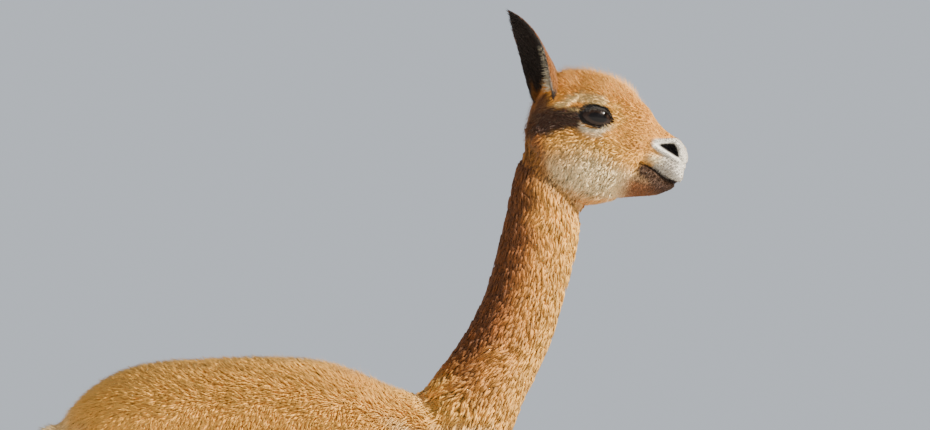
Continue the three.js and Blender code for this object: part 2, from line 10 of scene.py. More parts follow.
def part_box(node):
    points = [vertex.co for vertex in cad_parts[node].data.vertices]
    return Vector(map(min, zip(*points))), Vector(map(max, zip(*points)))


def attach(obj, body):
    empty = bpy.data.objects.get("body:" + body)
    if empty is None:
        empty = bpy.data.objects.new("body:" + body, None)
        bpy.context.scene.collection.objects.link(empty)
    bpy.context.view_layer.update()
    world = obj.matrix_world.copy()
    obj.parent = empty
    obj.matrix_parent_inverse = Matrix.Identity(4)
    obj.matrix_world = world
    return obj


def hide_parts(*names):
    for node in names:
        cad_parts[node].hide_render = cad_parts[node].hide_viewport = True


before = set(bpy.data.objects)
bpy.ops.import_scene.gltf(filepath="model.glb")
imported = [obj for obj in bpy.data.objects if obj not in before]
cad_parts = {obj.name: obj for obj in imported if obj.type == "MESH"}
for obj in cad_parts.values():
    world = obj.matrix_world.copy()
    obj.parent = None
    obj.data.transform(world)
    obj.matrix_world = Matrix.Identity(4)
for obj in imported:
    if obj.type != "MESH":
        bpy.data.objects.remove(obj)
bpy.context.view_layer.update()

# FORM
# The bulk of the animal, flesh and coat together. Trunk, neck, legs and tail are grown ring by ring, as
# the outline runs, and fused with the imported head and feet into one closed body. Sizes are in metres, from
# the point of the floor under the withers, and the whole is then moved to where the frame stands.
HEAD_PITCH = math.radians(14)
EYE_IN_HEAD = Vector((0.076, 0.036, 0.061))
HEAD_PIVOT = Vector((0.375, 0, 1.19))


def middle_of(node):
    low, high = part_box(node)
    return (Vector(low) + Vector(high)) / 2


eyes = {side: middle_of("eye_" + side) for side in ("right", "left")}
across_head = (eyes["left"] - eyes["right"]).normalized()
head_turn = (Matrix.Rotation(-math.atan2(across_head.x, across_head.y), 3, "Z")
             @ Matrix.Rotation(HEAD_PITCH, 3, "Y"))
head_at = (eyes["left"] + eyes["right"]) / 2 - head_turn @ Vector((EYE_IN_HEAD.x, 0, EYE_IN_HEAD.z))
SHIFT = head_at - HEAD_PIVOT


def select(*pieces):
    """Selects these objects and no others, the first of them active."""
    bpy.ops.object.select_all(action="DESELECT")
    for piece in pieces:
        piece.select_set(True)
    bpy.context.view_layer.objects.active = pieces[0]


def edit(operator, everything=False, **settings):
    """Runs a mesh operator on all of the active object, or on what is selected in it."""
    bpy.ops.object.mode_set(mode="EDIT")
    if everything:
        bpy.ops.mesh.select_all(action="SELECT")
    operator(**settings)
    bpy.ops.object.mode_set(mode="OBJECT")


def round_off(piece, levels):
    """Subdivides the active object smoothly."""
    rounding = piece.modifiers.new("round", "SUBSURF")
    rounding.levels = rounding.render_levels = levels
    bpy.ops.object.modifier_apply(modifier=rounding.name)


def grow(name, rings, upright=True):
    """A closed tube through rings of (place along it, low or rear, high or front, half width, sideways)."""
    def at(ring):
        along, low, high, _, aside = ring
        middle = (low + high) / 2
        return Vector((middle, aside, along) if upright else (along, aside, middle)) + SHIFT

    def size(ring):
        deep = (ring[2] - ring[1]) / 2
        return (deep, ring[3], 1) if upright else (1, ring[3], deep)

    bpy.ops.object.select_all(action="DESELECT")
    bpy.ops.mesh.primitive_circle_add(vertices=20, radius=1, fill_type="NGON", location=at(rings[0]),
                                      rotation=(0, 0 if upright else math.pi / 2, 0))
    tube = bpy.context.object
    tube.name = name
    bpy.ops.object.mode_set(mode="EDIT")
    bpy.ops.mesh.select_all(action="SELECT")
    bpy.ops.transform.resize(value=size(rings[0]), center_override=at(rings[0]))
    for last, ring in zip(rings, rings[1:]):
        bpy.ops.mesh.extrude_region_move(TRANSFORM_OT_translate={"value": at(ring) - at(last)})
        ratio = [new / old for new, old in zip(size(ring), size(last))]
        bpy.ops.transform.resize(value=ratio, center_override=at(ring))
    bpy.ops.mesh.select_all(action="SELECT")
    bpy.ops.mesh.normals_make_consistent(inside=False)
    bpy.ops.object.mode_set(mode="OBJECT")
    bpy.ops.object.transform_apply(location=True, rotation=True, scale=True)
    round_off(tube, 2)
    return tube


def copy_of(*nodes):
    """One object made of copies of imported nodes, with their loose triangles joined up."""
    copies = []
    for node in nodes:
        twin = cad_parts[node].copy()
        twin.data = twin.data.copy()
        twin.parent = None
        twin.name = "copy_" + node
        bpy.context.scene.collection.objects.link(twin)
        copies.append(twin)
    select(*copies)
    if len(copies) > 1:
        bpy.ops.object.join()
    edit(bpy.ops.mesh.remove_doubles, everything=True, threshold=1e-6)
    return bpy.context.object


def fused(name, parts, voxel, smoothing):
    """The parts as one closed surface of even small faces, softened."""
    select(*parts)
    bpy.ops.object.join()
    body = parts[0]
    body.name = name
    body.data.materials.clear()
    remesh = body.modifiers.new("fuse", "REMESH")
    remesh.mode = "VOXEL"
    remesh.voxel_size = voxel
    bpy.ops.object.modifier_apply(modifier=remesh.name)
    for factor in (0.5, -0.52) * smoothing:  # in and out again, so that thin limbs keep their girth
        soften = body.modifiers.new("soften", "SMOOTH")
        soften.factor = factor
        soften.iterations = 1
        bpy.ops.object.modifier_apply(modifier=soften.name)
    return body


def cut_away(body, height, above):
    """Removes what lies above or below a level plane and leaves the edge open."""
    select(body)
    edit(bpy.ops.mesh.bisect, everything=True, plane_co=(0, 0, height), plane_no=(0, 0, 1),
         clear_outer=above, clear_inner=not above)


TRUNK = [  # x, belly, back, half width
    (-0.377, 0.648, 0.752, 0.054), (-0.350, 0.614, 0.794, 0.090), (-0.305, 0.596, 0.833, 0.116),
    (-0.250, 0.592, 0.856, 0.127), (-0.185, 0.582, 0.862, 0.132), (-0.095, 0.546, 0.867, 0.140),
    (0, 0.518, 0.868, 0.145), (0.075, 0.506, 0.853, 0.143), (0.140, 0.500, 0.820, 0.133),
    (0.205, 0.506, 0.804, 0.119), (0.262, 0.532, 0.784, 0.099), (0.300, 0.578, 0.754, 0.072),
    (0.321, 0.633, 0.719, 0.036),
]
NECK = [  # height, nape, throat, half width
    (0.700, 0.120, 0.318, 0.092), (0.780, 0.165, 0.338, 0.090), (0.840, 0.218, 0.371, 0.080),
    (0.900, 0.262, 0.396, 0.067), (0.960, 0.291, 0.412, 0.057), (1.020, 0.307, 0.429, 0.052),
    (1.080, 0.321, 0.441, 0.049), (1.140, 0.334, 0.440, 0.048), (1.200, 0.350, 0.436, 0.044),
    (1.235, 0.364, 0.425, 0.034),
]
TAIL = [  # height, rear, front, half width
    (0.765, -0.385, -0.345, 0.026), (0.742, -0.408, -0.358, 0.029), (0.700, -0.423, -0.382, 0.032),
    (0.645, -0.427, -0.389, 0.031), (0.590, -0.421, -0.393, 0.022), (0.560, -0.413, -0.399, 0.010),
]
FORELEG = [  # height, rear, front, half width, middle
    (0.738, 0.152, 0.242, 0.032, 0.058), (0.672, 0.132, 0.264, 0.041, 0.079),
    (0.592, 0.139, 0.261, 0.037, 0.088), (0.522, 0.147, 0.239, 0.032, 0.088),
    (0.445, 0.163, 0.230, 0.028, 0.085), (0.350, 0.180, 0.228, 0.023, 0.081),
    (0.295, 0.186, 0.233, 0.024, 0.079), (0.250, 0.186, 0.225, 0.019, 0.078),
    (0.160, 0.185, 0.2185, 0.0155, 0.077), (0.094, 0.178, 0.220, 0.019, 0.076),
    (0.058, 0.187, 0.227, 0.021, 0.076), (0.030, 0.194, 0.229, 0.020, 0.076),
]
HINDLEG = [
    (0.768, -0.340, -0.236, 0.038, 0.054), (0.700, -0.368, -0.198, 0.051, 0.074),
    (0.620, -0.368, -0.182, 0.050, 0.087), (0.552, -0.336, -0.188, 0.043, 0.094),
    (0.485, -0.316, -0.219, 0.034, 0.095), (0.408, -0.336, -0.268, 0.026, 0.091),
    (0.345, -0.361, -0.306, 0.022, 0.087), (0.298, -0.372, -0.318, 0.022, 0.085),
    (0.250, -0.367, -0.323, 0.018, 0.083), (0.165, -0.359, -0.3235, 0.016, 0.081),
    (0.094, -0.362, -0.319, 0.019, 0.080), (0.058, -0.351, -0.311, 0.021, 0.080),
    (0.030, -0.344, -0.309, 0.020, 0.080),
]
STANCE = {  # how far each foot is set forward
    "fore_right": 0, "fore_left": 0.022, "hind_right": 0, "hind_left": -0.038,
}


def leg(place, low=0.0, high=1.0):
    """The rings of one leg between two heights, its foot set forward or back."""
    rings = FORELEG if place.startswith("fore") else HINDLEG
    side = -1 if place.endswith("right") else 1
    moved = []
    for z, rear, front, half, out in rings:
        step = STANCE[place] * min(1, max(0, (0.58 - z) / 0.48))
        if low <= z <= high:
            moved.append((z, rear + step, front + step, half, side * out))
    return grow("leg_" + place, moved)


BEHIND_JAW = 1.02  # height at which the head's fine surface meets the body's
PASTERN = 0.105  # height at which the feet's fine surface meets the legs'
GAP = 0.003  # left between two surfaces, to be bridged
body_parts = [grow("trunk", [ring + (0,) for ring in TRUNK], upright=False),
              grow("neck", [ring + (0,) for ring in NECK]),
              grow("tail", [ring + (0,) for ring in TAIL])]
body_parts += [leg(place) for place in STANCE]
body = fused("body", body_parts, 0.0068, 10)
cut_away(body, BEHIND_JAW - GAP, above=True)
cut_away(body, PASTERN + GAP, above=False)
head = fused("head", [copy_of("head", "eye_right", "eye_left"),
                      grow("nape", [ring + (0,) for ring in NECK if ring[0] > 0.89])], 0.0029, 4)
cut_away(head, BEHIND_JAW, above=False)
feet = []
for place in STANCE:
    nails = [f"nail_{place}_{which}" for which in ("inner", "outer")]
    foot = fused("foot", [copy_of("foot_" + place, *nails), leg(place, high=0.2)], 0.003, 4)
    cut_away(foot, PASTERN, above=True)
    feet.append(foot)

select(body, head, *feet)
bpy.ops.object.join()
hide = body
hide.name = hide.data.name = "hide"


def clear_selection(kind):
    """Selects nothing in the active object, and has points, edges or faces picked from now on."""
    bpy.ops.object.mode_set(mode="EDIT")
    bpy.ops.mesh.select_mode(type=kind)
    bpy.ops.mesh.select_all(action="DESELECT")
    bpy.ops.object.mode_set(mode="OBJECT")


def bridge_open_edges(chosen):
    """Joins the two open edges whose points are chosen by place with a strip of faces."""
    clear_selection("EDGE")
    edit(bpy.ops.mesh.select_non_manifold, extend=False, use_wire=False, use_multi_face=False,
         use_non_contiguous=False, use_verts=False)
    points = hide.data.vertices
    for edge in hide.data.edges:
        if edge.select and not chosen(points[edge.vertices[0]].co):
            edge.select = False
            for number in edge.vertices:
                points[number].select = False
    edit(bpy.ops.mesh.bridge_edge_loops)


bridge_open_edges(lambda at: at.z > 0.9)
for x_side in (-1, 1):
    for y_side in (-1, 1):
        bridge_open_edges(lambda at: at.z < 0.2 and at.x * x_side > 0 and at.y * y_side > 0)
clear_selection("VERT")
heights = np.array([point.co.z for point in hide.data.vertices])
joins = (np.abs(heights - BEHIND_JAW) < 0.016) | (np.abs(heights - PASTERN) < 0.011)
hide.data.vertices.foreach_set("select", joins)
edit(bpy.ops.mesh.vertices_smooth, factor=0.5, repeat=8)


# HIDE
# The skin under the coat. It lies inside the bulk by the depth of the coat, which is deep on trunk and
# neck and thin on face and feet. The sockets, lips and nostrils are drawn in it.
def ramp(value, start, end):
    """0 before start, 1 past end, and a smooth rise between them."""
    share = np.clip((value - start) / (end - start), 0, 1)
    return share * share * (3 - 2 * share)


def in_body(points):
    return points - np.array(SHIFT)


def in_head(points):
    """Along the face from the nape to the lips, to the animal's left, and square to the face."""
    return (points - np.array(head_at)) @ np.array(head_turn)


def from_head(ways):
    """Directions in the head as directions in the world."""
    return ways @ np.array(head_turn).T


def placed(face):
    """Places in the head as places in the world."""
    return from_head(face) + np.array(head_at)


def past_plane(points, at, out, soft):
    """0 on the near side of a plane and 1 beyond it, the change as soft as given."""
    out = np.array(out) / np.linalg.norm(out)
    return ramp((in_body(points) - np.array(at)) @ out, -soft, soft)


def head_share(points):
    return past_plane(points, (0.345, 0, 1.198), (0.79, 0, 0.61), 0.02)


def neck_share(points):
    return past_plane(points, (0.232, 0, 0.842), (0.72, 0, 0.69), 0.07) * (1 - head_share(points))


def leg_share(points):
    return ramp(points[:, 2], 0.62, 0.48)


def tail_share(points):
    x, y, z = in_body(points).T
    return (ramp(x, -0.372, -0.392) * ramp(np.abs(y), 0.07, 0.045) * ramp(z, 0.79, 0.75)
            * ramp(z, 0.5, 0.54))


def by_region(points, trunk, neck, head, leg, tail):
    """One value blended from those of the regions; each is a number, or an array of one value a point."""
    value = np.full(len(points), 1.0) * trunk
    for share, own in ((neck_share, neck), (head_share, head), (leg_share, leg), (tail_share, tail)):
        value = value + share(points) * (own - value)
    return value


def muzzle(points):
    """1 at the front of the face, from the nostrils on."""
    return ramp(in_head(points)[:, 0], 0.11, 0.17)


def coat_depth(points):
    u, _, w = in_head(points).T
    crown = ramp(w, 0.07, 0.12) * ramp(u, 0.13, 0.06)
    face = 0.0035 + 0.004 * crown - 0.0022 * muzzle(points)
    low = ramp(points[:, 2], 0.30, 0.06)
    return by_region(points, 0.012, 0.010, face, 0.005 - 0.0032 * low, 0.010)


def coordinates(mesh):
    flat = np.empty(len(mesh.vertices) * 3)
    mesh.vertices.foreach_get("co", flat)
    return flat.reshape(-1, 3)


def directions(mesh):
    flat = np.empty(len(mesh.vertices) * 3, dtype=np.float32)
    mesh.vertex_normals.foreach_get("vector", flat)
    return flat.reshape(-1, 3).astype(float)


def refine(near, cuts):
    """Splits the faces of the active hide whose middles are near what is to be modelled finely."""
    middles = np.array([face.center for face in hide.data.polygons])
    clear_selection("FACE")
    hide.data.polygons.foreach_set("select", near(in_head(middles)))
    edit(bpy.ops.mesh.subdivide, number_cuts=cuts, smoothness=0.6)


# The eye's own directions: forward along its slit, up, and outward. It looks a little forward.
EYE_HALF = np.array([0.0270, 0.0200, 0.0195])
EYE_OUT = 0.003
EYE_LOW = EYE_IN_HEAD.z - 0.0025
EYE_LOOK = math.radians(14)
AHEAD, ASIDE = math.cos(EYE_LOOK), math.sin(EYE_LOOK)


def in_eye(face, side):
    """Places in the head as seen from the middle of the eye on one side (-1 right, 1 left)."""
    side = np.zeros(len(face)) + side
    off = face - np.column_stack([EYE_IN_HEAD.x + 0 * side, side * EYE_IN_HEAD.y, EYE_LOW + 0 * side])
    forward = off[:, 0] * AHEAD - off[:, 1] * side * ASIDE
    outward = off[:, 0] * ASIDE + off[:, 1] * side * AHEAD
    return forward, off[:, 2], outward


def from_eye(forward, up, outward, side):
    """Places in the head from places as seen from the middle of the eye."""
    return np.column_stack([EYE_IN_HEAD.x + forward * AHEAD + outward * ASIDE,
                            side * (EYE_IN_HEAD.y + outward * AHEAD - forward * ASIDE), EYE_LOW + up])


SLIT = (0.0245, 0.0500, 0.0150, 0.0118)  # the opening's rear end, length, and height over and under its line


def slit_line(along):
    """Height of the opening's middle line and its hump, 0 to 1, at a share of its length."""
    return 0.0015 * along - 0.0020, np.clip(4 * along * (1 - along), 0, 1) ** 0.75


def slit(forward, up):
    """How far inside the opening between the lids a place is; below 0 it is that far outside."""
    along = (forward + SLIT[0]) / SLIT[1]
    line, hump = slit_line(along)
    inside = np.minimum(line + SLIT[2] * hump - up, up - line + SLIT[3] * hump)
    beyond = np.maximum(-along, along - 1) * SLIT[1]
    return np.where(beyond > 0, -np.hypot(beyond, up - line), inside)


def ball_front(forward, up):
    """How far out the eyeball's surface is."""
    bulge = 1 - (forward / EYE_HALF[0]) ** 2 - (up / EYE_HALF[1]) ** 2
    return EYE_OUT + EYE_HALF[2] * np.sqrt(np.maximum(0, bulge))


NOSTRIL = np.array([(0.179, 0.041), (0.202, 0.0485), (0.2145, 0.029)])  # its three corners


def nostril(face):
    """How far outside the rounded three-cornered opening a place is; below 0 it is inside."""
    u, w = face[:, 0], face[:, 2]
    sides = []
    for (u0, w0), (u1, w1) in zip(NOSTRIL, np.roll(NOSTRIL, -1, axis=0)):
        length = math.hypot(u1 - u0, w1 - w0)
        sides.append(((w - w0) * (u1 - u0) - (u - u0) * (w1 - w0)) / length)
    sharp = 420  # the higher, the sharper the three corners
    rounded = np.log(np.exp(np.array(sides) * sharp).sum(axis=0)) / sharp
    return rounded - 0.0015 + np.where(np.abs(face[:, 1]) < 0.003, 0.02, 0)


MOUTH = np.array([  # one side of the line between the lips, from its corner to the middle
    (0.158, 0.021, 0.007), (0.169, 0.019, 0.0065), (0.181, 0.017, 0.003), (0.195, 0.0145, -0.0040),
    (0.206, 0.011, -0.0065), (0.214, 0.006, -0.0065), (0.217, 0, -0.0065),
])


def from_mouth(face):
    """Distance to the line between the lips, and how far above it a place is."""
    place = np.column_stack([face[:, 0], np.abs(face[:, 1]), face[:, 2]])
    nearest, above = np.full(len(face), 1.0), np.zeros(len(face))
    for start, end in zip(MOUTH, MOUTH[1:]):
        way = end - start
        share = np.clip((place - start) @ way / (way @ way), 0, 1)
        off = place - start - share[:, None] * way
        far = np.linalg.norm(off, axis=1)
        above = np.where(far < nearest, off[:, 2], above)
        nearest = np.minimum(nearest, far)
    return nearest, above


def blob(face, middle, reach):
    """1 at a place in the head, fading to 0 about the reach away, each way its own; both sides alike."""
    off = np.column_stack([face[:, 0] - middle[0], np.abs(face[:, 1]) - middle[1], face[:, 2] - middle[2]])
    return np.exp(-((off / np.array(reach)) ** 2).sum(axis=1))


def near_eye(face):
    forward, up, outward = in_eye(face, np.sign(face[:, 1]))
    return (np.abs(forward) < 0.035) & (np.abs(up) < 0.025) & (outward > 0)


refine(lambda face: (face[:, 0] > 0.146) & (face[:, 2] > -0.05), 1)  # the muzzle
refine(near_eye, 2)

points, normals = coordinates(hide.data), directions(hide.data)
points -= normals * coat_depth(points)[:, None]
face = in_head(points)
mouth_far, mouth_above = from_mouth(face)
swelling = (0.0012 * np.exp(-((mouth_far - 0.006) / 0.003) ** 2) * (mouth_above < 0)  # roll of the lower lip
            - 0.0042 * np.exp(-(mouth_far / 0.0022) ** 2)  # line between the lips
            + 0.0022 * np.exp(-((nostril(face) - 0.004) / 0.003) ** 2) * ramp(face[:, 0], 0.16, 0.18))
for height, middle, reach in (
        (0.0036, (0.204, 0.015, 0.010), (0.015, 0.011, 0.009)),  # lobe of the upper lip
        (0.0020, (0.172, 0.020, -0.006), (0.013, 0.010, 0.008)),  # cheek of the lower lip
        (-0.0050, (0.226, 0, 0.010), (0.012, 0.0030, 0.022)),  # cleft of the upper lip
        (-0.0040, (0.227, 0, 0.0225), (0.014, 0.030, 0.0045)),  # dip between nose and lip
        (-0.0026, (0.186, 0.022, 0.027), (0.020, 0.012, 0.0035)),  # fold over the upper lip
        (-0.0014, (0.158, 0.022, 0.032), (0.008, 0.012, 0.018))):  # crease behind the nostril
    swelling += height * blob(face, middle, reach)
points += normals * (swelling * head_share(points))[:, None]
face = in_head(points)
overhang = blob(face, (0.214, 0.004, 0.000), (0.013, 0.016, 0.011)) * (mouth_above > -0.001)
face[:, 0] += 0.0095 * overhang  # the upper lip juts over the lower
face[:, 2] -= 0.0030 * overhang
hollow = 0.011 * ramp(-nostril(face), -0.0004, 0.0036) * ramp(face[:, 0], 0.165, 0.18)
face[:, 1] -= np.sign(face[:, 1]) * np.minimum(hollow, np.abs(face[:, 1]) * 0.6)
for side in (-1, 1):
    forward, up, outward = in_eye(face, side)
    by = (np.abs(forward) < 0.05) & (np.abs(up) < 0.04) & (outward > 0) & (face[:, 1] * side > 0)
    gap = slit(forward, up)
    front = ball_front(forward, up)
    lid = np.maximum(outward, front + 0.0019 - 0.0012 * ramp(-gap, 0.004, 0.016))
    lid = np.where(gap > 0, front - 0.003, lid)
    move = np.where(by, lid - outward, 0)
    face[:, 0] += move * ASIDE
    face[:, 1] += move * side * AHEAD
hide.data.vertices.foreach_set("co", placed(face).ravel())
hide.data.update()


# EARS
# Two lance-shaped cups of thin skin, rooted in the wool of the crown with their hollows turned out and
# back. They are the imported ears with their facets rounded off, and are part of the one hide.
EAR_LEAN = {-1: math.radians(38), 1: math.radians(42)}
EAR_SPREAD = math.radians(14)
EAR_LENGTH = 0.142


def unit(ways):
    return ways / np.linalg.norm(ways, axis=1)[:, None]


def square_to(normals, ways):
    """The ways without their part along the normals."""
    return ways - normals * (ways * normals).sum(axis=1)[:, None]


def in_ear(face):
    """Share of the length up the ear, place towards its front rim, and the unit ways up, open and front."""
    side = np.sign(face[:, 1])
    lean = np.where(side < 0, EAR_LEAN[-1], EAR_LEAN[1])
    up = unit(np.column_stack([-np.sin(lean), side * math.sin(EAR_SPREAD), np.cos(lean)]))
    hollow = unit(square_to(up, np.column_stack([-0.62 + 0 * side, 0.78 * side, -0.1 + 0 * side])))
    front = np.cross(up, hollow) * side[:, None]
    front *= np.sign(front[:, :1])
    off = face - np.column_stack([-0.005 + 0 * side, 0.033 * side, 0.082 + 0 * side])
    share = (off * up).sum(axis=1) / EAR_LENGTH
    return share, (off * front).sum(axis=1), up, hollow, front


def ear_flag(mesh, value):
    flag = mesh.attributes.new("ear", "FLOAT", "POINT")
    flag.data.foreach_set("value", np.full(len(mesh.vertices), float(value)))


ear_flag(hide.data, 0)
ears = []
for side in ("right", "left"):
    ear = copy_of("ear_" + side)
    round_off(ear, 1)
    ear.data.materials.clear()
    shape = in_head(coordinates(ear.data))
    share, _, up, _, _ = in_ear(shape)
    shape -= up * (np.maximum(share, 0) * EAR_LENGTH * 0.035)[:, None]
    shape[:, 1] -= np.sign(shape[:, 1]) * 0.007 * ramp(share, 0.28, 0.0)
    shape[:, 2] -= 0.005 * ramp(share, 0.3, 0.0)
    ear.data.vertices.foreach_set("co", placed(shape).ravel())
    ear_flag(ear.data, 1)
    ears.append(ear)
select(hide, *ears)
bpy.ops.object.join()
bpy.ops.object.shade_smooth()
ear_points = np.empty(len(hide.data.vertices))
hide.data.attributes["ear"].data.foreach_get("value", ear_points)
edit(bpy.ops.uv.smart_project, everything=True, angle_limit=math.radians(75), island_margin=0.002)
hide.data.uv_layers.active.name = "OFBake"
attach(hide, "root")
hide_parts(*[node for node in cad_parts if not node.startswith(("eye", "nail"))])


# MARKINGS
# Golden tan over the back and flanks, browner up the neck and orange on the forehead. Bib, belly, inner
# legs, cheeks and the patches over and under the eye are cream, the lips and nose pale grey, and the rims
# of the eyes near black, widened on top by painted shadow of the brow. The hollows of the nostrils and the
# insides of the ears are painted near black as shade. Painted shade also darkens the line and cleft of the
# lips, the lower lip and chin, the nape, the back of the head and a band behind the eye, and painted light
# makes the front of the neck paler.
def tint(red, green, blue):
    """A colour as seen on a screen, 0 to 255, in the linear light that shaders use."""
    return np.array([(c / 255) ** 2.2 for c in (red, green, blue)])


GOLD = tint(242, 178, 82)
RUSSET = tint(164, 94, 38)
ORANGE = tint(238, 160, 62)
CREAM = tint(252, 230, 180)
SAND = tint(246, 192, 96)
GREY = tint(206, 194, 178)
WHITE = tint(248, 240, 224)
UMBER = tint(66, 36, 20)
BLACK = tint(24, 17, 16)
BROW = SAND + 0.35 * (CREAM - SAND)
UNDER_EYE = CREAM + 0.4 * (WHITE - CREAM)


def wander(points, size, seed):
    """Soft, even noise about 0, its swells about as wide as size."""
    draw = np.random.default_rng(seed)
    value = np.zeros(len(points))
    for _ in range(6):
        way = draw.normal(size=3)
        way *= 2 * math.pi / size / np.linalg.norm(way) * draw.uniform(0.7, 1.4)
        value += np.sin(points @ way + draw.uniform(0, 6.28))
    return value / 2.5


def mix(colour, other, share):
    return colour + (other - colour) * np.reshape(np.clip(share, 0, 1), (-1, 1))


def layered(colour, *layers):
    """The colour with others laid over it in turn, each by its own share."""
    for other, share in layers:
        colour = mix(colour, other, share)
    return colour


def from_line(face, *corners):
    """Distance from a line drawn on the side of the face, given along the face and square to it."""
    nearest = np.full(len(face), 1.0)
    place = face[:, [0, 2]]
    for start, end in zip(np.array(corners), np.array(corners[1:])):
        way = end - start
        share = np.clip((place - start) @ way / (way @ way), 0, 1)
        nearest = np.minimum(nearest, np.linalg.norm(place - start - share[:, None] * way, axis=1))
    return nearest


def body_colours(points, normals, drift, fine):
    """Trunk, neck, legs and tail. The edges of the colours stray by drift, broadly, and by fine, narrowly."""
    x, y, z = in_body(points).T
    neck = ramp(neck_share(points) + drift * 4, 0.2, 0.9)
    # The nape: its own redder brown, deepened by painted shade on the side that faces back, away from the key
    # light.
    nape = neck * ramp(-normals[:, 0] + drift * 8, -0.30, 0.65) * ramp(z, 0.72, 0.92)
    withers = ramp(x + drift, 0.02, 0.10) * ramp(z + drift, 0.80, 0.86) * (1 - neck)
    breast = ramp(x + drift, 0.20, 0.29) * ramp(z + drift * 2.5 + fine * 6, 0.775, 0.665)
    shoulder = ramp(x + drift * 4, 0.02, 0.20) * ramp(z + drift * 2.5, 0.780, 0.700)
    rear = ramp(-x + drift, 0.32, 0.37) * ramp(z + drift, 0.81, 0.72) * ramp(z, 0.5, 0.6)
    legs = leg_share(points)
    inner = ramp(-normals[:, 1] * np.sign(y), 0.1, 0.6)
    return layered(
        GOLD,
        (SAND, ramp(z + drift, 0.72, 0.60) * 0.7),
        (CREAM, ramp(z + drift, 0.60, 0.55) * ramp(z, 0.36, 0.5)),
        (CREAM, ramp(-normals[:, 2], 0.35, 0.75) * ramp(z, 0.44, 0.5)),
        (ORANGE, neck * 0.35),
        (RUSSET, neck * ramp(z + drift, 1.12, 0.86) * 0.50),
        # painted light: the front of the neck, which faces the key light, made paler
        (SAND, neck * ramp(normals[:, 0] + drift * 6, 0.1, 0.85) * 0.45),
        # nape: the russet is partly its own colour and partly painted shade; the umber on the side that faces
        # back is painted shade
        (RUSSET, nape * 0.95),
        (UMBER, nape * ramp(-normals[:, 0], 0.1, 0.75) * 0.7),
        (RUSSET, withers * 0.5),
        (CREAM, breast * ramp(z, 0.46, 0.52)),
        (CREAM, shoulder * ramp(z, 0.5, 0.6) * 0.9),
        (CREAM, rear * 0.8),
        (SAND, legs * 0.6),
        (CREAM, legs * inner * 0.85),
        (CREAM, tail_share(points) * ramp(np.abs(y), 0.012, 0.028) * 0.8))


